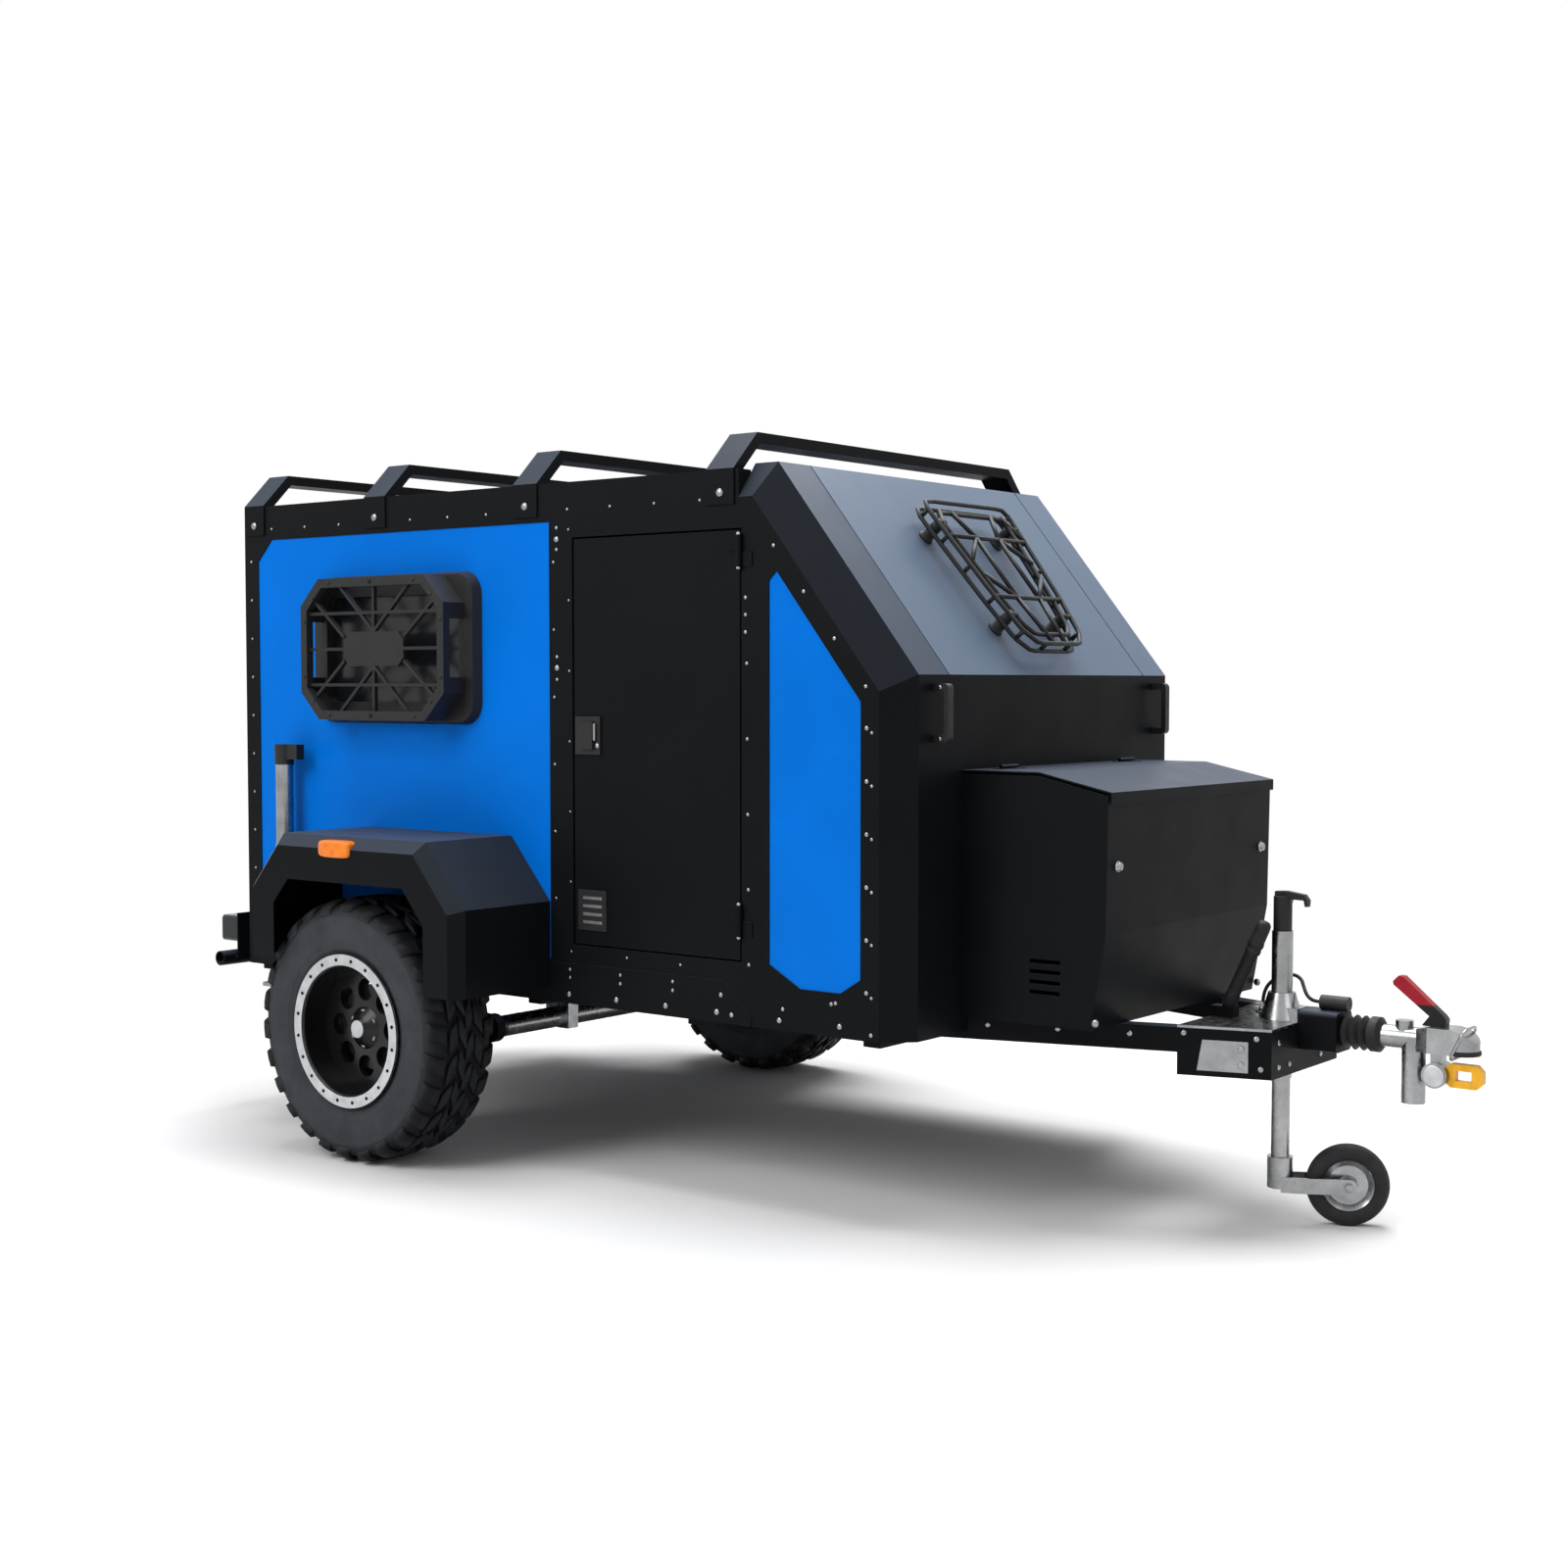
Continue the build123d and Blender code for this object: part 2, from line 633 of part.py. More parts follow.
def nose_outline(wall):
    """The nose seen from above, its back edge open by wall and its other edges moved in by wall."""
    back, front = NOSE_BACK - wall, NOSE_X - wall
    back_y, front_y = rail_edge(NOSE_BACK) - wall, NOSE_Y - wall
    return [(back, -back_y), (front, -front_y), (front, front_y), (back, back_y)]


tube_hole = rod((JOCKEY_X, 0, 0), (JOCKEY_X, 0, RIDGE_Z), JOCKEY_TUBE_R + RUNNING_GAP)
nodes["nose_plate"] = flat_plate(nose_outline(0), (RAIL_TOP, NOSE_TOP)) - tube_hole
skirt_z = (RAIL_FOOT - NOSE_DROP, RAIL_FOOT)
nodes["nose_skirt"] = flat_plate(nose_outline(0), skirt_z) - flat_plate(nose_outline(NOSE_WALL), skirt_z)

# Body shell
slope_run = Vector(SLOPE_RUN, 0, SLOPE_FOOT_Z - RIDGE_Z).normalized()
slope_out = Vector(-slope_run.Z, 0, slope_run.X)
slope_lean = slope_run.X / slope_run.Z
wall_top_x = SIDE_FRONT + (WALL_TOP - EDGE_FOOT_Z) * slope_lean
side_outline = [(BODY_REAR, SILL_Z), (SIDE_FRONT, SILL_Z), (SIDE_FRONT, EDGE_FOOT_Z), (wall_top_x, WALL_TOP),
                (BODY_REAR, WALL_TOP)]


def body_form(inset):
    """The closed left edge of the body's outer form, every face moved inwards by inset."""
    chamfer_run = Vector(CORNER, -CORNER, SLOPE_FOOT_Z - EDGE_FOOT_Z)
    faces = [(Vector(BODY_FRONT, 0, 0), Vector(1, 0, 0)),
             (Vector(0, 0, RIDGE_Z), Vector(0, 0, 1)),
             (Vector(0, BODY_HALF, 0), Vector(0, 1, 0)),
             (Vector(BODY_FRONT, 0, SLOPE_FOOT_Z), slope_out),
             (Vector(SIDE_FRONT, BODY_HALF, 0), Vector(1, 1, 0)),
             (Vector(SIDE_FRONT, BODY_HALF, EDGE_FOOT_Z), chamfer_run.cross(slope_run)),
             (Vector(0, BODY_HALF, EDGE_TOP_Z), Vector(0, RIDGE_Z - EDGE_TOP_Z, CORNER))]
    form = block((RIDGE_BACK, BODY_FRONT), (FACE_HALF - WALL, BODY_HALF), (SILL_Z, RIDGE_Z))
    for point, normal in faces:
        unit = normal.normalized()
        form = cut_by(form, point - unit * inset, unit)
    return form


corner_cap = body_form(0) - body_form(WALL)
corner_cap &= block((RIDGE_BACK, BODY_FRONT), (FACE_HALF, BODY_HALF), (SILL_Z, RIDGE_Z))
corner_cap -= side_plate(side_outline, (0, BODY_HALF + WALL))
nodes["corner_caps"] = pair(corner_cap)

slope_inner_foot = BODY_FRONT - WALL / slope_out.X
under_ridge = RIDGE_Z - WALL
slope_inner_top = slope_inner_foot + (under_ridge - SLOPE_FOOT_Z) * slope_lean
slope_panel = side_plate([(RIDGE_BACK, RIDGE_Z), (RIDGE_X, RIDGE_Z), (BODY_FRONT, SLOPE_FOOT_Z),
                          (slope_inner_foot, SLOPE_FOOT_Z), (slope_inner_top, under_ridge),
                          (RIDGE_BACK, under_ridge)], (-FACE_HALF, FACE_HALF))
slope_plane = Plane(origin=(RIDGE_X, 0, RIDGE_Z), x_dir=slope_run, z_dir=slope_out)
slope_len = math.hypot(SLOPE_RUN, RIDGE_Z - SLOPE_FOOT_Z)
seam_y = FACE_HALF - SEAM_INSET
slope_panel -= slope_plane * pair(block((0, slope_len + WALL), about(seam_y, SEAM_W), (-SEAM_DEPTH, WALL)))
nodes["slope_panel"] = slope_panel

front_panel = block((BODY_FRONT - WALL, BODY_FRONT), (-FACE_HALF, FACE_HALF), (SILL_Z, SLOPE_FOOT_Z))
nodes["front_panel"] = front_panel - drawbar

rail_y = BODY_HALF - ROOF_RAIL_W
nodes["roof_panel"] = block((BODY_REAR, RIDGE_BACK), (-rail_y, rail_y), (ROOF_TOP - WALL, ROOF_TOP))
nodes["roof_rails"] = pair(block((BODY_REAR, RIDGE_BACK), (rail_y, BODY_HALF), (WALL_TOP, RAIL_CROWN)))
floor_back, floor_front = BODY_REAR + WALL, BODY_FRONT - WALL
corner_line = SIDE_FRONT + BODY_HALF - WALL * math.sqrt(2)
floor_half = [(floor_back, INNER_Y), (corner_line - INNER_Y, INNER_Y),
              (floor_front, corner_line - floor_front)]
floor_outline = floor_half + [(x, -y) for x, y in reversed(floor_half)]
nodes["floor"] = flat_plate(floor_outline, (RAIL_TOP, FLOOR_TOP))

rear_x = (BODY_REAR, BODY_REAR + WALL)
rear_frame = block(rear_x, (-INNER_Y, INNER_Y), (RAIL_TOP, WALL_TOP))
rear_frame += block(rear_x, (-rail_y, rail_y), (RAIL_TOP, ROOF_TOP - WALL))
hatch_way = HATCH_HALF + HATCH_GAP
rear_frame -= block(shrunk(rear_x, -WALL), (-hatch_way, hatch_way), shrunk(HATCH_Z, -HATCH_GAP))

# Sides
outside = BODY_HALF + WALL
door_way = block((DOOR_X[0] - DOOR_LATCH_GAP, DOOR_X[1] + DOOR_GAP), (0, outside), shrunk(DOOR_Z, -DOOR_GAP))
way_x, way_z = shrunk(WINDOW_X, WINDOW_LIP), shrunk(WINDOW_Z, WINDOW_LIP)
way_r = WINDOW_R - WINDOW_LIP
window_way = rounded_plate(way_x, way_z, way_r, (0, outside))
nodes["side_walls"] = pair(side_plate(side_outline, (INNER_Y, SKIN_Y)) - door_way - window_way)


def rear_panel():
    """The blue panel behind the door, its upper rear corner cut off."""
    back, front = BODY_REAR + REAR_PANEL_BORDER, DOOR_X[0] - REAR_PANEL_FRONT
    foot, head = SILL_Z + REAR_PANEL_FOOT, WALL_TOP - REAR_PANEL_HEAD
    cut = REAR_PANEL_CUT
    return [(back, foot), (front, foot), (front, head), (back + cut, head), (back, head - cut)]


def front_blue_panel():
    """The blue panel ahead of the door: its lower corners cut off, its front edge following the slope."""
    back, front = DOOR_X[1] + FRONT_PANEL_BACK, SIDE_FRONT - FRONT_PANEL_BORDER
    foot = SILL_Z + FRONT_PANEL_FOOT
    (back_run, back_rise), (front_run, front_rise) = FRONT_PANEL_CUTS

    def slope_z(x):
        return EDGE_FOOT_Z + (x + FRONT_PANEL_SLOPE - SIDE_FRONT) / slope_lean

    tip = back + FRONT_PANEL_TIP
    return [(back, foot + back_rise), (back + back_run, foot), (front - front_run, foot),
            (front, foot + front_rise), (front, slope_z(front)), (tip, slope_z(tip)),
            (back, slope_z(tip) - FRONT_PANEL_TIP)]


trim_y = (SKIN_Y, BODY_HALF)
side_trim = side_plate(side_outline, trim_y) - door_way
for outline in (rear_panel(), front_blue_panel()):
    side_trim -= side_plate(outline, trim_y)
sill_back, sill_front = DOOR_X[0] - REAR_PANEL_FRONT, DOOR_X[1] + SILL_PLATE_FRONT
sill_top, sill_edge = SILL_Z + SILL_PLATE_H, SILL_Z + SILL_PLATE_H - SILL_PLATE_CUT
side_trim += side_plate([(sill_back, SILL_Z), (sill_front, SILL_Z), (sill_front, sill_edge),
                         (sill_front - SILL_PLATE_CUT, sill_top), (sill_back, sill_top)],
                        (BODY_HALF, BODY_HALF + SILL_PLATE_T))
nodes["side_trims"] = pair(side_trim)

# Doors
door = block(DOOR_X, (BODY_HALF - DOOR_T, BODY_HALF), DOOR_Z)
hinge_out = HINGE_R + HINGE_SEAT
door_hinges = []
hinge_x, hinge_y = DOOR_X[1] + DOOR_GAP / 2, BODY_HALF + hinge_out
for z in (DOOR_Z[0] + DOOR_HINGE_LOW, DOOR_Z[1] - DOOR_HINGE_HIGH):
    seat = Plane(origin=(hinge_x, hinge_y, z), x_dir=(1, 0, 0), z_dir=(0, 0, 1))
    fixed, moving = hinge(seat, HINGE_R, HINGE_PIN_R, HINGE_LEAF, HINGE_LEAF_T)
    door_hinges.append(fixed)
    door += moving
both_sides("door", door)
nodes["door_hinges"] = pair(group(door_hinges))


def on_door(at, size):
    """Limits in x and z of a fitting, its lower rear corner measured from the door's."""
    x, z = DOOR_X[0] + at[0], DOOR_Z[0] + at[1]
    return (x, x + size[0]), (z, z + size[1])


lock_x, lock_z = on_door(LOCK_AT, LOCK_SIZE)
lock_face = BODY_HALF + LOCK_T
lock = block(lock_x, (BODY_HALF, lock_face), lock_z)
paddle_x, paddle_z = shrunk(lock_x, PADDLE_INSET[0]), shrunk(lock_z, PADDLE_INSET[1])
lock += block(paddle_x, (lock_face, lock_face + PADDLE_T), paddle_z)
vent_x, vent_z = on_door(VENT_AT, VENT_SIZE)
vent = block(vent_x, (BODY_HALF, BODY_HALF + VENT_T), vent_z)
for step in range(LOUVRES):
    z = vent_z[0] + VENT_SIZE[1] * (step + 1) / (LOUVRES + 1)
    vent -= block(shrunk(vent_x, VENT_BORDER), (BODY_HALF, outside), about(z, LOUVRE_H))
both_sides("door_fittings", group([lock, vent]))

# Rear hatch
hatch = block(rear_x, (-HATCH_HALF, HATCH_HALF), HATCH_Z)
hatch_hinge_y = HATCH_HALF - HATCH_HINGE_INSET
hinge_x, hinge_z = BODY_REAR - hinge_out, HATCH_Z[1] + HATCH_GAP / 2
for y in (-hatch_hinge_y, hatch_hinge_y):
    seat = Plane(origin=(hinge_x, y, hinge_z), x_dir=(0, 0, 1), z_dir=(0, -1, 0))
    fixed, moving = hinge(seat, HINGE_R, HINGE_PIN_R, HINGE_LEAF, HINGE_LEAF_T)
    rear_frame += fixed
    hatch += moving
nodes["rear_hatch"] = hatch
nodes["rear_frame"] = rear_frame

# Windows
frame_face = SKIN_Y + WINDOW_PROUD
glass_x, glass_z = shrunk(WINDOW_X, WINDOW_BORDER), shrunk(WINDOW_Z, WINDOW_BORDER)
window_frame = rounded_plate(WINDOW_X, WINDOW_Z, WINDOW_R, (SKIN_Y, frame_face), WINDOW_TAPER)
window_frame += rounded_plate(way_x, way_z, way_r, (INNER_Y, SKIN_Y))
window_frame -= rounded_plate(glass_x, glass_z, GLASS_R, (0, outside))
nodes["window_frames"] = pair(window_frame)
nodes["window_glass"] = pair(rounded_plate(glass_x, glass_z, GLASS_R, (SKIN_Y - GLASS_T, SKIN_Y)))


def flat_bar(start, end, width, y):
    """A flat bar between two (x, z) points, carried from y[0] to y[1]."""
    (x0, z0), (x1, z1) = start, end
    bar = block((0, math.hypot(x1 - x0, z1 - z0)), y, about(0, width))
    return Pos(x0, 0, z0) * Rot(0, -math.degrees(math.atan2(z1 - z0, x1 - x0)), 0) * bar


def window_guard():
    """Eight-sided outer bar on stand-offs that wrap its corners, with rods from it to a blank plate."""
    face = BODY_HALF + GUARD_PROUD
    back = face - GUARD_T
    x, z = shrunk(WINDOW_X, GUARD_INSET[0]), shrunk(WINDOW_Z, GUARD_INSET[1])
    outline = clipped(x, z, GUARD_CUT)

    def hollow(wall):
        return clipped(shrunk(x, wall), shrunk(z, wall), GUARD_CUT - wall / 2)

    guard = side_plate(outline, (back, face)) - side_plate(hollow(GUARD_BAR), (back, face))
    stand_off = side_plate(outline, (frame_face, back)) - side_plate(hollow(GUARD_WEB), (frame_face, back))
    open_x, open_z = shrunk(x, GUARD_CUT + GUARD_WRAP), shrunk(z, GUARD_CUT + GUARD_WRAP)
    stand_off -= block(open_x, (frame_face, back), z)
    stand_off -= block(x, (frame_face, back), open_z)
    guard += stand_off

    mid_x, mid_z = sum(x) / 2, sum(z) / 2
    half_x, half_z = (x[1] - x[0] - GUARD_BAR) / 2, (z[1] - z[0] - GUARD_BAR) / 2
    plate_x, plate_z = GUARD_PLATE[0] / 2, GUARD_PLATE[1] / 2
    rod_y = (back, back + GUARD_ROD_T)
    plate_limits = about(mid_x, GUARD_PLATE[0]), about(mid_z, GUARD_PLATE[1])
    guard += side_plate(clipped(*plate_limits, GUARD_PLATE_CUT), rod_y)
    for side_z in (-1, 1):
        rail = mid_z + side_z * GUARD_RAIL * half_z
        guard += flat_bar((mid_x - half_x, rail), (mid_x + half_x, rail), GUARD_ROD, rod_y)
        for side_x in (-1, 1):
            for from_x, from_z, to_x, to_z in GUARD_RODS:
                start = (mid_x + side_x * from_x * plate_x, mid_z + side_z * from_z * plate_z)
                end = (mid_x + side_x * to_x * half_x, mid_z + side_z * to_z * half_z)
                guard += flat_bar(start, end, GUARD_ROD, rod_y)
    return guard


nodes["window_guards"] = pair(window_guard())

# Roof hoops
hoop_top, hoop_bend = RAIL_CROWN + HOOP_RISE, RAIL_CROWN + HOOP_BEND_RISE
hoop_out, hoop_flat = BODY_HALF + HOOP_FLANGE_T, BODY_HALF - HOOP_LEAN
flange_foot = RAIL_CROWN - HOOP_FLANGE_DROP
lean = (hoop_out - hoop_flat) / (hoop_top - hoop_bend)
inner_flat = hoop_flat - HOOP_T * (math.sqrt(1 + lean * lean) - 1) / lean
inner_top = hoop_top - HOOP_T
inner_foot = inner_flat + (inner_top - RAIL_CROWN) * lean
hoop_half = [(inner_flat, inner_top), (inner_foot, RAIL_CROWN), (BODY_HALF, RAIL_CROWN),
             (BODY_HALF, flange_foot), (hoop_out, flange_foot), (hoop_out, hoop_bend), (hoop_flat, hoop_top)]
hoop_outline = hoop_half + [(-y, z) for y, z in reversed(hoop_half)]
nodes["roof_hoops"] = group([cross_plate(hoop_outline, (x, x + HOOP_W)) for x in HOOP_X])


# Fenders

def fender_form(inset, reach):
    """The arch's filled form from the wall out to reach, its top faces moved inwards by inset."""
    (rear, _), (front, front_z) = FENDER[0], FENDER[-1]
    foot = min(FENDER_LOW)
    outline = [(rear, foot)] + FENDER + [(front, foot)]
    form = block((rear, front), (0, reach), (foot, FENDER[1][1]))
    mid = ((rear + front) / 2, (foot + front_z) / 2)
    across, down = FENDER_BEVEL
    for (x0, z0), (x1, z1) in zip(outline, outline[1:]):
        out = Vector(z0 - z1, 0, x1 - x0).normalized()
        if out.dot(Vector(x0 - mid[0], 0, z0 - mid[1])) < 0:
            out = -out
        edge = Vector(x0, FENDER_Y - across, z0)
        form = cut_by(form, edge - out * inset, out)
        bevel = (out * across + Vector(0, down, 0)).normalized()
        form = cut_by(form, edge - bevel * inset, bevel)
    return form


fender = fender_form(0, FENDER_Y) - fender_form(FENDER_T, FENDER_Y - FENDER_T)
fender -= fender_form(FENDER_BEVEL[1] + FENDER_LIP, FENDER_Y + FENDER_T)
fender &= block((FENDER[0][0], FENDER[-1][0]), (SKIN_Y, FENDER_Y), (min(FENDER_LOW), FENDER[1][1]))
fender -= block((FENDER[0][0], 0), (0, FENDER_Y), (0, FENDER_LOW[0]))
fender -= side_trim
nodes["fenders"] = pair(fender)

marker_top = FENDER[1][1] - MARKER_DROP
marker = rounded_plate(MARKER_X, (marker_top - MARKER_H, marker_top), MARKER_ROUND,
                       (FENDER_Y - FENDER_BEVEL[0], FENDER_Y + MARKER_PROUD))
nodes["marker_lamps"] = pair(marker - fender_form(0, FENDER_Y))

# Slope rack
rack_line = [(RACK_TOP + down, half) for down, half in RACK_HALF]
rod_z = (RACK_LIFT, RACK_LIFT + RACK_ROD)


def rack_half(down):
    """The rack's half width at a place below its top edge."""
    for (d0, h0), (d1, h1) in zip(RACK_HALF, RACK_HALF[1:]):
        if down <= d1:
            return h0 + (h1 - h0) * (down - d0) / (d1 - d0)
    return RACK_HALF[-1][1]


def rack_loop(inset):
    """A closed loop of square rod that follows the rack's outline, moved in by inset."""
    face = face_of([(down, half, RACK_LIFT) for down, half in mirrored(rack_line)])
    outer = offset(face, amount=-inset, kind=Kind.INTERSECTION) if inset else face
    inner = offset(face, amount=-inset - RACK_ROD, kind=Kind.INTERSECTION)
    return extrude(outer, amount=RACK_ROD, dir=(0, 0, 1)) - extrude(inner, amount=RACK_ROD, dir=(0, 0, 1))


def rack_bar(start, end):
    """A square rod between two places of the rack: how far down, distance from its middle line."""
    (d0, y0), (d1, y1) = start, end
    bar = block((0, math.hypot(d1 - d0, y1 - y0)), about(0, RACK_ROD), rod_z)
    return Pos(RACK_TOP + d0, y0, 0) * Rot(0, 0, math.degrees(math.atan2(y1 - y0, d1 - d0))) * bar


rack_end = RACK_HALF[-1][0]
rack = rack_loop(0) + rack_loop(RACK_INNER)
for down in RACK_BARS:
    half = rack_half(down) - RACK_ROD
    rack += rack_bar((down, -half), (down, half))
first, last = RACK_BARS
for side in (-1, 1):
    rack += rack_bar((first, side * RACK_RAIL_HALF), (last, side * RACK_RAIL_HALF))
    rack += rack_bar((RACK_INNER, side * RACK_BRACE_HALF), (first, side * RACK_RAIL_HALF))
    rack += rack_bar((last, side * RACK_RAIL_HALF), (rack_end - RACK_ROD, side * RACK_TAIL_HALF))
    for down, inset in RACK_FEET:
        half = rack_half(down)
        place = (RACK_TOP + down, side * (half - inset))
        rack += rod((*place, 0), (*place, rod_z[1]), RACK_FOOT_R)
        rack += rack_bar((down, side * (half - RACK_ROD)), (down, side * (half - RACK_INNER)))
nodes["slope_rack"] = slope_plane * rack

# Grab handles
reach = BODY_FRONT + HANDLE_REACH
handle = block((BODY_FRONT, reach), about(FACE_HALF - HANDLE_INSET, HANDLE_W), HANDLE_Z)
front_edges = handle.edges().filter_by(Axis.Y).group_by(Axis.X)[-1]
handle = fillet(front_edges, HANDLE_ROUND)
handle -= block((BODY_FRONT, reach - HANDLE_T), (0, BODY_HALF), shrunk(HANDLE_Z, HANDLE_FOOT))
nodes["grab_handles"] = pair(handle)

# Front box
box_mid, box_foot = BOX_FRONT - BOX_MID[0], BOX_FRONT - BOX_FOOT_INSET
box_crease = BODY_FRONT + BOX_CREASE
lid_hinge_x = BODY_FRONT + LID_HINGE_AT
rim_z = BOX_TOP_Z - LID_T - LID_GAP
box_outline = [(BODY_FRONT, RAIL_TOP), (box_foot, RAIL_TOP), (box_mid, BOX_MID[1]),
               (BOX_FRONT, rim_z - BOX_LIP_DROP), (box_crease, rim_z), (BODY_FRONT, rim_z)]
box_back = BODY_FRONT + BOX_WALL
box_inner = [(box_back, RAIL_TOP + BOX_WALL), (box_foot - BOX_WALL, RAIL_TOP + BOX_WALL),
             (box_mid - BOX_WALL, BOX_MID[1]), (BOX_FRONT - BOX_WALL, RIDGE_Z), (box_back, RIDGE_Z)]
box_half = (-BOX_HALF, BOX_HALF)
lid_z = (BOX_TOP_Z - LID_T, BOX_TOP_Z)
front_box = side_plate(box_outline, box_half) - side_plate(box_inner, shrunk(box_half, BOX_WALL))
front_box += block((BODY_FRONT, box_back), box_half, (rim_z, lid_z[0]))
front_box += block((BODY_FRONT, lid_hinge_x - LID_GAP / 2), box_half, lid_z)
louvre_back = BODY_FRONT + BOX_LOUVRE_AT[0]
for step in range(LOUVRES):
    z = RAIL_TOP + BOX_LOUVRE_AT[1] + step * BOX_LOUVRE_PITCH
    slot = block((louvre_back, louvre_back + BOX_LOUVRE_W), shrunk((BOX_HALF, BOX_HALF), -2 * BOX_WALL),
                 about(z, BOX_LOUVRE_H))
    front_box -= pair(slot)

lip_x, lip_z = BOX_FRONT + LID_GAP, BOX_TOP_Z - BOX_LIP_DROP
lid_back = lid_hinge_x + LID_GAP / 2
lip_foot = lip_z - LID_LIP
box_lid = side_plate([(lid_back, lid_z[0]), (box_crease, lid_z[0]), (lip_x, lip_z - LID_T), (lip_x, lip_foot),
                      (lip_x + LID_T, lip_foot), (lip_x + LID_T, lip_z), (box_crease, BOX_TOP_Z),
                      (lid_back, BOX_TOP_Z)], box_half)
lid_hinge_y = BOX_HALF - LID_HINGE_INSET
hinge_z = BOX_TOP_Z + LID_HINGE_R + HINGE_SEAT
for y in (-lid_hinge_y, lid_hinge_y):
    seat = Plane(origin=(lid_hinge_x, y, hinge_z), x_dir=(-1, 0, 0), z_dir=(0, 1, 0))
    fixed, moving = hinge(seat, LID_HINGE_R, LID_HINGE_PIN_R, LID_HINGE_LEAF, LID_HINGE_LEAF_T)
    front_box += fixed
    box_lid += moving
nodes["front_box"] = front_box
nodes["box_lid"] = box_lid

# Rear bar and lamps
bar_half = BODY_HALF + BAR_OUT
lamp_x = (BODY_REAR - LAMP_BACK[0], BODY_REAR - LAMP_BACK[1])
lamp_y = (BODY_HALF + LAMP_OUT - LAMP_W, BODY_HALF + LAMP_OUT)
lamp_z = (BAR_Z + LAMP_RISE, BAR_Z + LAMP_RISE + LAMP_H)
rear_bar = rod((BAR_X, -bar_half, BAR_Z), (BAR_X, bar_half, BAR_Z), BAR_D / 2)
rear_bar += pair(block((BAR_X, BODY_REAR), about(rail_mid, BAR_STAY[0]), about(BAR_Z, BAR_STAY[1])))
rear_bar += pair(block((lamp_x[1], lamp_x[1] + LAMP_PLATE_T), lamp_y, (BAR_Z, lamp_z[1] + LAMP_PLATE_RISE)))
rear_bar += pair(block((BAR_X, lamp_x[1]), lamp_y, (BAR_Z, BAR_Z + LAMP_PLATE_T)))
rear_bar -= rod((BAR_X, -bar_half - WALL, BAR_Z), (BAR_X, bar_half + WALL, BAR_Z), BAR_D / 2 - BAR_WALL)
nodes["rear_bar"] = rear_bar
lamp = block(lamp_x, lamp_y, lamp_z)
nodes["tail_lamps"] = pair(fillet(lamp.edges().filter_by(Axis.X), LAMP_ROUND))

# Stands
stand_at = (BODY_REAR + STAND_AHEAD, BODY_HALF + STAND_OUT)
stand_bore = STAND_TUBE_R - STAND_TUBE_WALL
low, high = STAND_TUBE_Z
stand_tube = rod((*stand_at, low), (*stand_at, high), STAND_TUBE_R)
for z in STAND_CLAMP_Z:
    stand_tube += block(about(stand_at[0], STAND_CLAMP_W), (SKIN_Y, stand_at[1]), z)
stand_tube -= rod((*stand_at, 0), (*stand_at, high), stand_bore)
cap_top = high + STAND_CAP_H
handle_len, handle_w, handle_h = STAND_HANDLE
stand_cap = rod((*stand_at, high), (*stand_at, cap_top), STAND_TUBE_R + STAND_CAP_WALL)
handle_x, handle_z = (stand_at[0], stand_at[0] + handle_len), (cap_top - handle_h, cap_top)
stand_cap += block(handle_x, about(stand_at[1], handle_w), handle_z)
stand_cap -= rod((*stand_at, 0), (*stand_at, high + STAND_CAP_SEAT), stand_bore)
nodes["stand_tubes"] = pair(stand_tube)
nodes["stand_caps"] = pair(stand_cap)
stand_leg = rod((*stand_at, STAND_FOOT_Z), (*stand_at, STAND_LEG_TOP), stand_bore - RUNNING_GAP)
stand_leg += block(about(stand_at[0], STAND_FOOT), about(stand_at[1], STAND_FOOT),
                   (STAND_FOOT_Z, STAND_FOOT_Z + STAND_FOOT_T))
both_sides("stand_leg", stand_leg)


# Jockey wheel

def upright(low, high, radius):
    """A round bar about the jockey tube's middle line."""
    return rod((JOCKEY_X, 0, low), (JOCKEY_X, 0, high), radius)


low, high = JOCKEY_TUBE_Z
jockey_bore = JOCKEY_TUBE_R - JOCKEY_TUBE_WALL
stem_r = jockey_bore - RUNNING_GAP
jockey_tube = upright(low, high, JOCKEY_TUBE_R)
clamp = Cone(*CLAMP_R, CLAMP_H, align=(Align.CENTER, Align.CENTER, Align.MIN))
jockey_tube += Pos(JOCKEY_X, 0, NOSE_TOP) * clamp
jockey_tube += block((JOCKEY_X, NOSE_X - CLAMP_CHANNEL_BACK), (-CLAMP_CHANNEL_HALF, CLAMP_CHANNEL_HALF),
                     (NOSE_TOP, NOSE_TOP + CLAMP_CHANNEL_H))
bolt_z, bolt_back = NOSE_TOP + CLAMP_BOLT_RISE, JOCKEY_X - CLAMP_BOLT_LEN
jockey_tube += rod((bolt_back, 0, bolt_z), (JOCKEY_X, 0, bolt_z), CLAMP_BOLT_R)
jockey_tube += rod((bolt_back, 0, bolt_z), (bolt_back + CLAMP_BOLT_HEAD[1], 0, bolt_z), CLAMP_BOLT_HEAD[0])
nodes["jockey_tube"] = jockey_tube - upright(0, high, jockey_bore)

crank_top = high + CRANK_H
crank = upright(high, crank_top, JOCKEY_TUBE_R - CRANK_INSET)
crank_hook = [(JOCKEY_X + ahead, crank_top + rise) for ahead, rise in CRANK_HOOK]
crank += side_plate(crank_hook, about(0, CRANK_HOOK_W))
nodes["jockey_crank"] = crank
nodes["jockey_stem"] = upright(JOCKEY_STEM_FOOT, JOCKEY_STEM_TOP, stem_r)

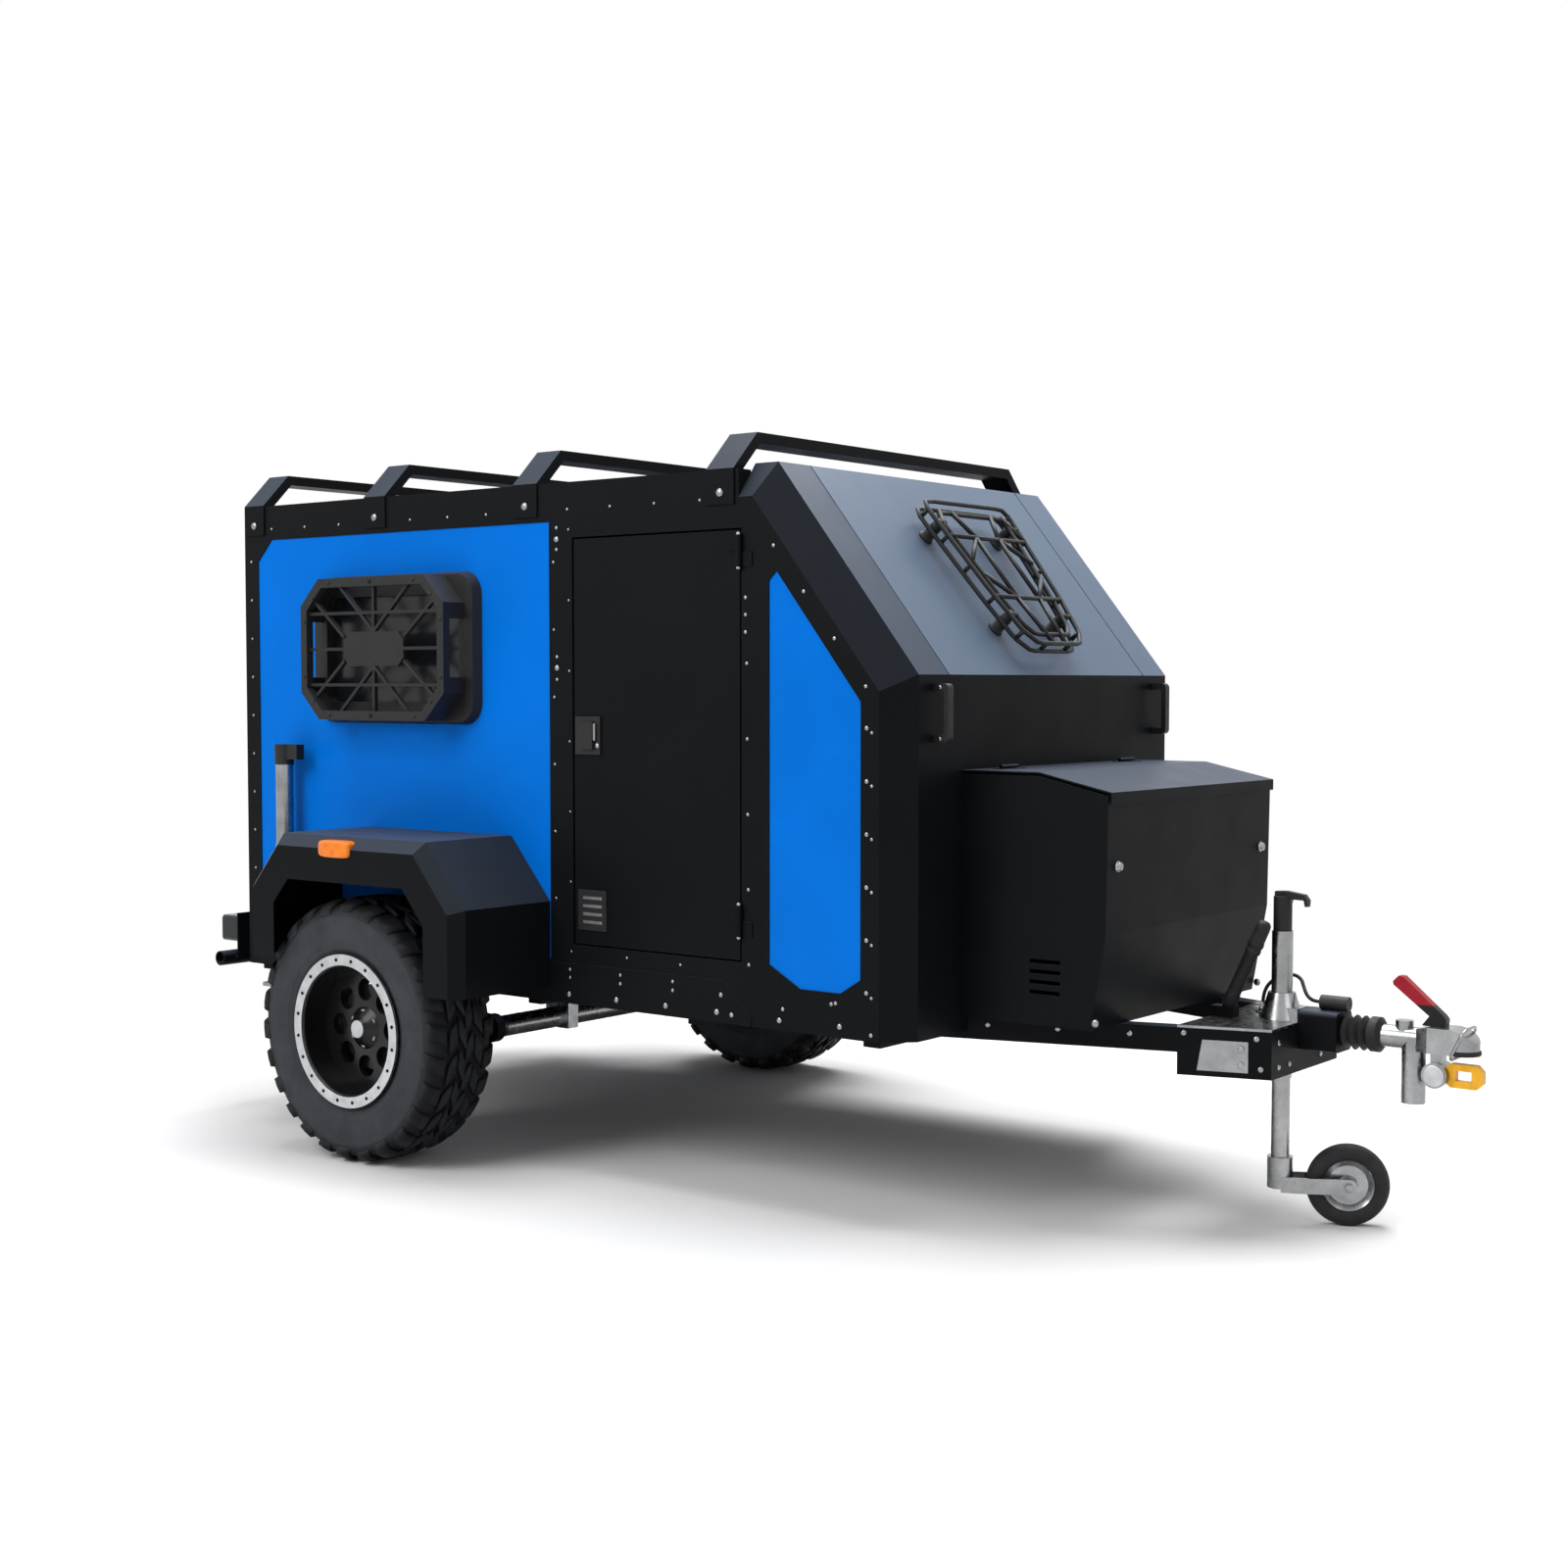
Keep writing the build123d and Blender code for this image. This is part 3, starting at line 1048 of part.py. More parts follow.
swivel = Pos(JOCKEY_X, 0, 0) * Rot(0, 0, JOCKEY_TURN)
axle_z = JOCKEY_D / 2
wheel_mid = (JOCKEY_TRAIL, 0, axle_z)
sleeve_foot = JOCKEY_STEM_FOOT - RUNNING_GAP - JOCKEY_ARM_T
arm_in = JOCKEY_W / 2 + JOCKEY_ARM_GAP
arm_out = arm_in + JOCKEY_ARM_T
arm_z = about(axle_z, JOCKEY_ARM_H)


def jockey_fork():
    """A strap bent round the stem's sleeve: it runs from each side of the sleeve out to a straight arm."""
    sleeve = rod((0, 0, sleeve_foot), (0, 0, JOCKEY_SLEEVE_TOP), JOCKEY_SLEEVE_R)
    side = JOCKEY_SLEEVE_R - JOCKEY_ARM_T
    arm = flat_plate([(0, side), (JOCKEY_ARM_BACK, arm_in), (JOCKEY_TRAIL, arm_in), (JOCKEY_TRAIL, arm_out),
                      (JOCKEY_ARM_BACK, arm_out), (0, JOCKEY_SLEEVE_R)], arm_z)
    arm += rod((JOCKEY_TRAIL, arm_in, axle_z), (JOCKEY_TRAIL, arm_out, axle_z), JOCKEY_ARM_H / 2)
    fork = sleeve + pair(arm)
    fork += rod((JOCKEY_TRAIL, -arm_in, axle_z), (JOCKEY_TRAIL, arm_in, axle_z), JOCKEY_AXLE_R)
    return fork - rod((0, 0, JOCKEY_STEM_FOOT - RUNNING_GAP), (0, 0, high), stem_r + RUNNING_GAP)


nodes["jockey_fork"] = swivel * jockey_fork()

rim_r, half_w, tyre_r = JOCKEY_RIM_D / 2, JOCKEY_W / 2, JOCKEY_D / 2
bead = JOCKEY_TYRE_BEAD / 2
tyre_profile = [(rim_r, bead), (rim_r + JOCKEY_TYRE_BELLY, half_w), (tyre_r - JOCKEY_TYRE_SHOULDER, half_w),
                (tyre_r, JOCKEY_TYRE_TREAD / 2)]
nodes["jockey_tyre"] = swivel * Pos(*wheel_mid) * sided_ring(mirrored(tyre_profile), JOCKEY_TYRE_SIDES)
hub_end, web = half_w + JOCKEY_HUB_PROUD, JOCKEY_RIM_WEB / 2
rim_profile = [(JOCKEY_AXLE_R + RUNNING_GAP, hub_end), (JOCKEY_HUB_R[0], hub_end), (JOCKEY_HUB_R[1], web),
               (rim_r - JOCKEY_RIM_LIP, web), (rim_r - RUNNING_GAP, bead)]
nodes["jockey_rim"] = swivel * turned(mirrored(rim_profile), wheel_mid)

# Coupling
housing_z = (COUPLING_Z + HOUSING_RISE[0], COUPLING_Z + HOUSING_RISE[1])
housing = block((NOSE_X, HOUSING_FRONT), (-HOUSING_HALF, HOUSING_HALF), housing_z)
nodes["coupling_housing"] = fillet(housing.edges().filter_by(Axis.X), HOUSING_ROUND)

collar_back = BOOT_FRONT - BOOT_COLLAR
fold = (collar_back - HOUSING_FRONT) / (2 * BOOT_FOLDS)
boot_line = [(HOUSING_FRONT + fold * step, BOOT_R[step % 2]) for step in range(2 * BOOT_FOLDS + 1)]
boot_line += [(collar_back + BOOT_COLLAR_BEVEL, BOOT_R[1]), (BOOT_FRONT - BOOT_COLLAR_BEVEL, BOOT_R[1]),
              (BOOT_FRONT, BOOT_R[0])]
boot_face = face_of([(x, radius, 0) for x, radius in [(HOUSING_FRONT, 0)] + boot_line + [(BOOT_FRONT, 0)]])
nodes["drawtube_boot"] = Pos(0, 0, COUPLING_Z) * revolve(boot_face, axis=Axis.X)

post_x, neck_bolt_x = NECK_FRONT - POST_BACK, NECK_FRONT - NECK_BOLT_BACK
neck = rod((BOOT_FRONT, 0, COUPLING_Z), (NECK_FRONT, 0, COUPLING_Z), NECK_R)
neck += rod((post_x, 0, COUPLING_Z - POST_DROP), (post_x, 0, COUPLING_Z), POST_R)
neck += rod((neck_bolt_x, 0, COUPLING_Z), (neck_bolt_x, 0, COUPLING_Z + NECK_R + NECK_BOLT_H), NECK_BOLT_R)
neck -= rod((post_x, 0, 0), (post_x, 0, COUPLING_Z - NECK_R - POST_BORE_ROOF), POST_BORE_R)
nodes["coupling_neck"] = neck


def coupling_head():
    """Cast head over the ball's socket: its side view, with a falling nose, met by its round-nosed plan."""
    top, foot = COUPLING_Z + HEAD_RISE, COUPLING_Z - HEAD_DROP
    crest_back, crest_front = BALL_X - HEAD_CREST[0], BALL_X - HEAD_CREST[1]
    tip_z, neck_z = COUPLING_Z - HEAD_TIP_DROP, COUPLING_Z + NECK_R
    nose = (BALL_X + HEAD_NOSE[0], 0, COUPLING_Z + HEAD_NOSE[1])
    ahead = HEAD_TIP + HEAD_OVERRUN
    side = [ThreePointArc((crest_front, 0, top), nose, (ahead, 0, tip_z)),
            Polyline((ahead, 0, tip_z), (ahead, 0, foot), (NECK_FRONT, 0, foot), (NECK_FRONT, 0, neck_z),
                     (crest_back, 0, top), (crest_front, 0, top))]
    plan = [ThreePointArc((BALL_X, -HEAD_HALF, foot), (HEAD_TIP, 0, foot), (BALL_X, HEAD_HALF, foot)),
            Polyline((BALL_X, HEAD_HALF, foot), (crest_back, HEAD_HALF, foot), (NECK_FRONT, NECK_R, foot),
                     (NECK_FRONT, -NECK_R, foot), (crest_back, -HEAD_HALF, foot), (BALL_X, -HEAD_HALF, foot))]
    head = extrude(make_face(side), amount=2 * HEAD_HALF, both=True, dir=(0, 1, 0))
    head &= extrude(make_face(plan), amount=top - foot, dir=(0, 0, 1))
    socket = BALL_R + RUNNING_GAP
    ball_z = COUPLING_Z - BALL_DROP
    head -= Pos(BALL_X, 0, ball_z) * Sphere(socket)
    head -= rod((BALL_X, 0, 0), (BALL_X, 0, ball_z), socket)
    head += rod((KNOB_X, -KNOB_HALF, KNOB_Z), (KNOB_X, KNOB_HALF, KNOB_Z), KNOB_R)
    head += block(about(KNOB_X, 2 * KNOB_STEM[0]), (-KNOB_STEM[1], KNOB_STEM[1]), (KNOB_Z, foot))
    return head - neck


nodes["coupling_head"] = coupling_head()
lever_side = [(BALL_X + ahead, COUPLING_Z + rise) for ahead, rise in LEVER_SIDE]
nodes["coupling_lever"] = side_plate(lever_side, about(0, LEVER_W))

hook_x = (KNOB_X + HOOK_AHEAD[0], KNOB_X + HOOK_AHEAD[1])
hook_z = (KNOB_Z + HOOK_RISE[0], KNOB_Z + HOOK_RISE[1])
hook_y = about(0, HOOK_T)
hook = side_plate(clipped(hook_x, hook_z, HOOK_CUT), hook_y)
hook -= block(shrunk(hook_x, HOOK_BAR[0]), hook_y, shrunk(hook_z, HOOK_BAR[1]))
nodes["coupling_hook"] = hook - rod((KNOB_X, -HOOK_T, KNOB_Z), (KNOB_X, HOOK_T, KNOB_Z), KNOB_R + RUNNING_GAP)

# Handbrake
brake_x = NOSE_BACK + BRAKE_AHEAD
brake_base = Vector(brake_x, BRAKE_Y, NOSE_TOP)
brake_run = Vector(brake_x + BRAKE_RUN, BRAKE_Y, BRAKE_TIP_Z) - brake_base
brake_line = [(radius, 0, share * brake_run.length) for share, radius in BRAKE_LINE]
brake_face = face_of([(0, 0, 0)] + brake_line + [(0, 0, brake_run.length)])
brake = Plane(origin=brake_base, z_dir=brake_run) * revolve(brake_face, axis=Axis.Z)
foot_len, foot_w, foot_h = BRAKE_FOOT
foot_back = brake_x - BRAKE_FOOT_BACK
brake += block((foot_back, foot_back + foot_len), about(BRAKE_Y, foot_w), (NOSE_TOP, NOSE_TOP + foot_h))
nodes["handbrake_lever"] = brake & block((NOSE_BACK, NOSE_X), (-NOSE_Y, NOSE_Y), (NOSE_TOP, RIDGE_Z))

# Lighting lead
points = [Vector(JOCKEY_X + ahead, left, NOSE_TOP + rise) for ahead, left, rise in LEAD]
start, end = points[0], points[-1]
nodes["lead_gland"] = rod((start.X, start.Y, NOSE_TOP), tuple(start), LEAD_D)
runs = [b - a for a, b in zip(points, points[1:])]
radii = []
for before, after in zip(runs, runs[1:]):
    turn = math.radians(before.get_angle(after))
    radii.append(LEAD_BEND * min(before.length, after.length) / math.tan(turn / 2))
path = FilletPolyline(*points, radius=radii)
print("lead radii", [round(radius) for radius in radii], "runs", [round(run.length) for run in runs])
nodes["lead_cable"] = sweep(Plane(origin=start, z_dir=runs[0]) * Circle(LEAD_D / 2), path=path)
tube_volume = math.pi * (LEAD_D / 2) ** 2 * path.length
lead_share = nodes["lead_cable"].volume / tube_volume
print("lead length", round(path.length, 1), "volume share", round(lead_share, 4))
nodes["lead_plug"] = rod(tuple(end), (end.X + PLUG_LEN, end.Y, end.Z), PLUG_R)

for name, shape in nodes.items():
    export_step(Pos(ORIGIN_SHIFT, 0, 0) * shape, f"parts/{name}.step")
print(len(nodes), "nodes")
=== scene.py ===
"""Looks of the off-road cargo trailer: a finish for every solid, and the small pieces that sit on them."""
import json

import bpy
import numpy as np
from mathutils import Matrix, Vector


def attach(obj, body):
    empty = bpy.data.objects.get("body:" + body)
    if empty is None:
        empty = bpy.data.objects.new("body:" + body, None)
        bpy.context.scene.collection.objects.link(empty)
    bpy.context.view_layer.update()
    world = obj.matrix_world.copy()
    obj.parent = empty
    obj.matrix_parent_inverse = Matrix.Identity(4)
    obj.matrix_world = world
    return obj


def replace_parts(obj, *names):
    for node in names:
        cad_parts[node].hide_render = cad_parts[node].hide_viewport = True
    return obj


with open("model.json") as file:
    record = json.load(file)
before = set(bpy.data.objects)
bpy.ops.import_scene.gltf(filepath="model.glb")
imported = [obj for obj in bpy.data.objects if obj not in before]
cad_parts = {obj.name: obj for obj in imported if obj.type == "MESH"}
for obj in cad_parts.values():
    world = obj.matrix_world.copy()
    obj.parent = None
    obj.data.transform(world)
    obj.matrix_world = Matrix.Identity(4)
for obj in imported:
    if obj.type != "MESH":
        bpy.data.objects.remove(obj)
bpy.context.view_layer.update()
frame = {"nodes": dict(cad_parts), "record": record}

# Places below are in metres, with x measured from the road wheels' axle and then shifted into the frame
AXLE_X = -0.942
BODY_SIDE = 0.689
BODY_FRONT = 1.651
SIDES = {"left": 1, "right": -1}


def placed(x, y, z):
    """Points of the frame from places along the trailer, across it and above the ground."""
    x, y, z = np.broadcast_arrays(*[np.asarray(value, float) for value in (x, y, z)])
    return np.stack([x + AXLE_X, y, z], axis=-1)


def unit(vectors):
    vectors = np.asarray(vectors, float)
    return vectors / np.linalg.norm(vectors, axis=-1, keepdims=True)


# Mesh building

def put_mesh(name, points, faces, slot, body="trailer", smooth=True):
    """A piece from an array of points and arrays of faces, riding on a body and finished as its slot."""
    mesh = bpy.data.meshes.new(name)
    rows = [face for array in faces for face in array.tolist()]
    mesh.from_pydata(np.asarray(points, float).reshape(-1, 3), [], rows)
    mesh.polygons.foreach_set("use_smooth", np.full(len(mesh.polygons), smooth))
    mesh.materials.append(finishes[slot])
    mesh.update()
    piece = bpy.data.objects.new(name, mesh)
    bpy.context.scene.collection.objects.link(piece)
    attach(piece, body)
    return piece


def join(patches):
    """One array of points and one list of face arrays from several (points, faces) patches."""
    points, faces, total = [], [], 0
    for patch_points, patch_faces in patches:
        flat = np.asarray(patch_points, float).reshape(-1, 3)
        points.append(flat)
        faces += [array + total for array in patch_faces]
        total += len(flat)
    return np.concatenate(points), faces


def grid_faces(rows, columns, wrap_rows=False, wrap_columns=False):
    """Quads of a grid numbered row by row; wrap joins its last row or column to the first."""
    row = np.arange(rows if wrap_rows else rows - 1)[:, None]
    column = np.arange(columns if wrap_columns else columns - 1)[None, :]
    next_row, next_column = (row + 1) % rows, (column + 1) % columns
    corners = [row * columns + column, row * columns + next_column,
               next_row * columns + next_column, next_row * columns + column]
    return np.stack(corners, axis=-1).reshape(-1, 4)


def copies(faces, points_each, count):
    """The faces of one patch, repeated for each of its copies."""
    return (faces[None] + points_each * np.arange(count)[:, None, None]).reshape(-1, faces.shape[1])


def smooth_line(points, count):
    """Catmull-Rom curve through the points: each span is a cubic whose slope at each end is half the step
    between that end's neighbours."""
    p = np.asarray(points, float)
    padded = np.vstack([2 * p[0] - p[1], p, 2 * p[-1] - p[-2]])
    at = np.linspace(0, len(p) - 1, count)
    span = np.minimum(at.astype(int), len(p) - 2)
    t = (at - span)[:, None]
    a, b, c, d = (padded[span + step] for step in range(4))
    return 0.5 * (2 * b + (c - a) * t + (2 * a - 5 * b + 4 * c - d) * t ** 2
                  + (3 * b - a - 3 * c + d) * t ** 3)


def square_to(axes):
    """Two unit vectors square to each axis and to each other."""
    axes = unit(axes)
    helper = np.where(np.abs(axes[..., 2:]) > 0.9, [1.0, 0, 0], [0, 0, 1.0])
    across = unit(np.cross(helper, axes))
    return across, np.cross(axes, across)


def heads(places, outward, sizes, profile, sides=12):
    """Bolt heads: a profile of (height, radius), in head sizes, turned about each outward line and capped."""
    places, outward = np.asarray(places, float), unit(outward)
    across, up = square_to(outward)
    height, radius = np.asarray(profile, float).T[:, None, :, None, None]
    turn = np.linspace(0, 2 * np.pi, sides, endpoint=False)[None, None, :, None]
    ring = np.cos(turn) * across[:, None, None] + np.sin(turn) * up[:, None, None]
    size = np.broadcast_to(np.asarray(sizes, float), len(places))[:, None, None, None]
    points = places[:, None, None] + size * (radius * ring + height * outward[:, None, None])
    rows, each = len(profile), len(profile) * sides
    caps = np.stack([np.arange(sides)[::-1], np.arange(sides) + each - sides])
    faces = [grid_faces(rows, sides, wrap_columns=True), caps]
    return points, [copies(array, each, len(places)) for array in faces]


ROUND_HEAD = [(0.0, 1.0), (0.16, 0.98), (0.32, 0.84), (0.44, 0.58), (0.5, 0.22)]
NUT_HEAD = [(0.0, 1.3), (0.18, 1.3), (0.18, 1.0), (0.85, 1.0), (1.0, 0.82)]
PIN_END = [(0.0, 1.0), (0.7, 1.0), (1.1, 0.8), (1.25, 0.3)]


def turned(profile, centre, axis, steps=64, ring=False):
    """A profile of (along, radius) turned about a line, its ends closed by flat caps or joined as a ring."""
    axis = unit(axis)
    across, up = square_to(axis)
    along, radius = np.asarray(profile, float).T
    turn = np.linspace(0, 2 * np.pi, steps, endpoint=False)[:, None, None]
    circle = np.cos(turn) * across + np.sin(turn) * up
    points = np.asarray(centre) + along[None, :, None] * axis + radius[None, :, None] * circle
    columns = len(along)
    faces = grid_faces(steps, columns, wrap_rows=True, wrap_columns=ring)[:, ::-1]
    if ring:
        return points, [faces]
    caps = np.arange(steps) * columns + np.array([[0], [columns - 1]])
    caps[0] = caps[0, ::-1]
    return points, [faces, caps]


def tube(line, up, radius, sides=10, closed=False):
    """A round rod along a line of points: circles square to its run, with up taken as its upper side."""
    line = np.asarray(line, float)
    run = np.roll(line, -1, 0) - np.roll(line, 1, 0) if closed else np.gradient(line, axis=0)
    across = unit(np.cross(unit(run), up))
    over = np.cross(across, unit(run))
    turn = np.linspace(0, 2 * np.pi, sides, endpoint=False)[None, :, None]
    points = line[:, None] + radius * (np.cos(turn) * across[:, None] - np.sin(turn) * over[:, None])
    faces = [grid_faces(len(line), sides, wrap_rows=closed, wrap_columns=True)]
    if not closed:
        faces.append(np.stack([np.arange(sides)[::-1], np.arange(sides) + (len(line) - 1) * sides]))
    return points, faces


BOX_FACES = np.array([[2, 3, 1, 0], [5, 7, 6, 4], [1, 5, 4, 0], [6, 7, 3, 2], [4, 6, 2, 0], [3, 7, 5, 1]])


def slabs(starts, ends, outward, width, depth):
    """Flat bars: each runs from a start to an end, is so wide, and stands up from its surface by depth."""
    starts, ends = np.asarray(starts, float), np.asarray(ends, float)
    out = np.broadcast_to(unit(outward), starts.shape)
    side = unit(np.cross(ends - starts, out)) * width / 2
    along = np.stack([starts, ends], axis=1)[:, :, None, None]
    across = np.stack([-side, side], axis=1)[:, None, :, None]
    raised = np.stack([0 * out, out * depth], axis=1)[:, None, None]
    return along + across + raised, [copies(BOX_FACES, 8, len(starts))]


# Finishes

def new_finish(name):
    finish = bpy.data.materials.new(name)
    finish.use_nodes = True
    nodes = finish.node_tree.nodes
    return finish, nodes, finish.node_tree.links, nodes["Principled BSDF"]


def noise(nodes, links, size, detail=3.0):
    """Cloudy noise on the piece's own coordinates, with features about size metres across."""
    place = nodes.new("ShaderNodeTexCoord")
    cloud = nodes.new("ShaderNodeTexNoise")
    cloud.inputs["Scale"].default_value = 1 / size
    cloud.inputs["Detail"].default_value = detail
    links.new(place.outputs["Object"], cloud.inputs["Vector"])
    return cloud.outputs["Fac"]


def spread(nodes, links, value, low, high, start=0.3, end=0.7):
    """A value carried from its start and end onto low and high."""
    carry = nodes.new("ShaderNodeMapRange")
    carry.inputs["From Min"].default_value = start
    carry.inputs["From Max"].default_value = end
    carry.inputs["To Min"].default_value = low
    carry.inputs["To Max"].default_value = high
    links.new(value, carry.inputs["Value"])
    return carry.outputs["Result"]


def blend(nodes, links, factor, first, second):
    """A mix of two colours, each a plain colour or another node's output."""
    mix = nodes.new("ShaderNodeMix")
    mix.data_type = "RGBA"
    for socket, colour in (("A", first), ("B", second)):
        if isinstance(colour, tuple):
            mix.inputs[socket].default_value = (*colour, 1)
        else:
            links.new(colour, mix.inputs[socket])
    links.new(factor, mix.inputs["Factor"])
    return mix.outputs["Result"]


def clouded(nodes, links, colour, size, low, high):
    """The colour, darkened and lightened between low and high times by cloudy noise."""
    factor = spread(nodes, links, noise(nodes, links, size), 0, 1)
    shades = [tuple(min(1.0, channel * share) for channel in colour) for share in (low, high)]
    return blend(nodes, links, factor, *shades)


def facing(nodes, links, axis, start, end):
    """How far the surface faces along an axis, from 0 at start to 1 at end."""
    place = nodes.new("ShaderNodeTexCoord")
    parts = nodes.new("ShaderNodeSeparateXYZ")
    links.new(place.outputs["Normal"], parts.inputs[0])
    return spread(nodes, links, parts.outputs[axis], 0, 1, start, end)


def roughen(nodes, links, shader, size, strength, depth):
    """A fine grain: a bump from noise, depth metres tall."""
    bump = nodes.new("ShaderNodeBump")
    bump.inputs["Strength"].default_value = strength
    bump.inputs["Distance"].default_value = depth
    links.new(noise(nodes, links, size, 2.0), bump.inputs["Height"])
    links.new(bump.outputs["Normal"], shader.inputs["Normal"])


def coated(name, colour, gloss, cloud_size=0.35, cloud=(0.9, 1.12), grain=(0.0016, 0.12, 0.0004),
           metal=0.0, specular=0.5, upward_colour=None):
    """A coat with faint clouds in colour and gloss and a fine grain: gloss is its least and most roughness;
    a colour given for its upward faces lies on them: a painted sheen on the black finishes, bare wood on the
    floor."""
    finish, nodes, links, shader = new_finish(name)
    tinted = clouded(nodes, links, colour, cloud_size, *cloud)
    # Upward faces take the given colour: on the black coat and the black plastic this is a painted sheen
    if upward_colour:
        tinted = blend(nodes, links, facing(nodes, links, "Z", 0.3, 1.0), tinted, upward_colour)
    links.new(tinted, shader.inputs["Base Color"])
    links.new(spread(nodes, links, noise(nodes, links, cloud_size * 0.4), *gloss), shader.inputs["Roughness"])
    shader.inputs["Metallic"].default_value = metal
    shader.inputs["Specular IOR Level"].default_value = specular
    roughen(nodes, links, shader, *grain)
    return finish


def lens(name, colour, through, shell=None):
    """A moulded lens, clear by its through share; with a shell colour, only its rear face is the lens."""
    finish, nodes, links, shader = new_finish(name)
    tinted = clouded(nodes, links, colour, 0.02, 0.85, 1.15)
    if shell:
        tinted = blend(nodes, links, facing(nodes, links, "X", -0.5, -0.9), shell, tinted)
    links.new(tinted, shader.inputs["Base Color"])
    shader.inputs["Roughness"].default_value = 0.2
    shader.inputs["Specular IOR Level"].default_value = 0.3
    shader.inputs["Transmission Weight"].default_value = through
    roughen(nodes, links, shader, 0.006, 0.2, 0.001)
    return finish


def banded(finish, axis, low, high, colour):
    """The finish with another colour where its own coordinate along an axis lies between low and high."""
    nodes, links = finish.node_tree.nodes, finish.node_tree.links
    shader = nodes["Principled BSDF"]
    place = nodes.new("ShaderNodeTexCoord")
    parts = nodes.new("ShaderNodeSeparateXYZ")
    links.new(place.outputs["Object"], parts.inputs[0])
    within = nodes.new("ShaderNodeMath")
    within.operation = "COMPARE"
    within.inputs[1].default_value = (low + high) / 2
    within.inputs[2].default_value = (high - low) / 2
    links.new(parts.outputs[axis], within.inputs[0])
    outside = shader.inputs["Base Color"].links[0].from_socket
    links.new(blend(nodes, links, within.outputs[0], outside, colour), shader.inputs["Base Color"])
    return finish


def shaded_round_axle(finish):
    """The finish with its colour scaled by distance from the road wheels' axle, as the tyre table below gives
    it:
    a painted highlight on the sidewall and painted shade over the tread, darkest on the groove floors.
    """
    nodes, links = finish.node_tree.nodes, finish.node_tree.links
    shader = nodes["Principled BSDF"]
    place = nodes.new("ShaderNodeTexCoord")
    offset = nodes.new("ShaderNodeVectorMath")
    offset.operation = "SUBTRACT"
    offset.inputs[1].default_value = (AXLE_X, 0, TYRE_R)
    links.new(place.outputs["Object"], offset.inputs[0])
    level = nodes.new("ShaderNodeVectorMath")
    level.operation = "MULTIPLY"
    level.inputs[1].default_value = (1, 0, 1)
    links.new(offset.outputs[0], level.inputs[0])
    distance = nodes.new("ShaderNodeVectorMath")
    distance.operation = "LENGTH"
    links.new(level.outputs[0], distance.inputs[0])
    near, far = TYRE_PAINTED_SHADES[0][0], TYRE_PAINTED_SHADES[-1][0]
    ramp = nodes.new("ShaderNodeValToRGB")
    for radius, _ in TYRE_PAINTED_SHADES[1:-1]:
        ramp.color_ramp.elements.new((radius - near) / (far - near))
    for element, (_, share) in zip(ramp.color_ramp.elements, TYRE_PAINTED_SHADES):
        element.color = (share, share, share, 1)
    links.new(spread(nodes, links, distance.outputs["Value"], 0, 1, near, far), ramp.inputs[0])
    scale = nodes.new("ShaderNodeMix")
    scale.data_type = "RGBA"
    scale.blend_type = "MULTIPLY"
    scale.inputs["Factor"].default_value = 1.0
    links.new(shader.inputs["Base Color"].links[0].from_socket, scale.inputs["A"])
    links.new(ramp.outputs[0], scale.inputs["B"])
    links.new(scale.outputs["Result"], shader.inputs["Base Color"])
    return finish


TYRE_R = 0.3665
# Distance from the axle and share of the rubber's colour there: painted highlight on the sidewall, painted
# shade on groove floors and block tops
TYRE_PAINTED_SHADES = [(0.200, 0.7), (0.235, 1.0), (0.310, 1.0), (0.336, 0.3), (0.356, 0.15), (0.367, 0.42)]
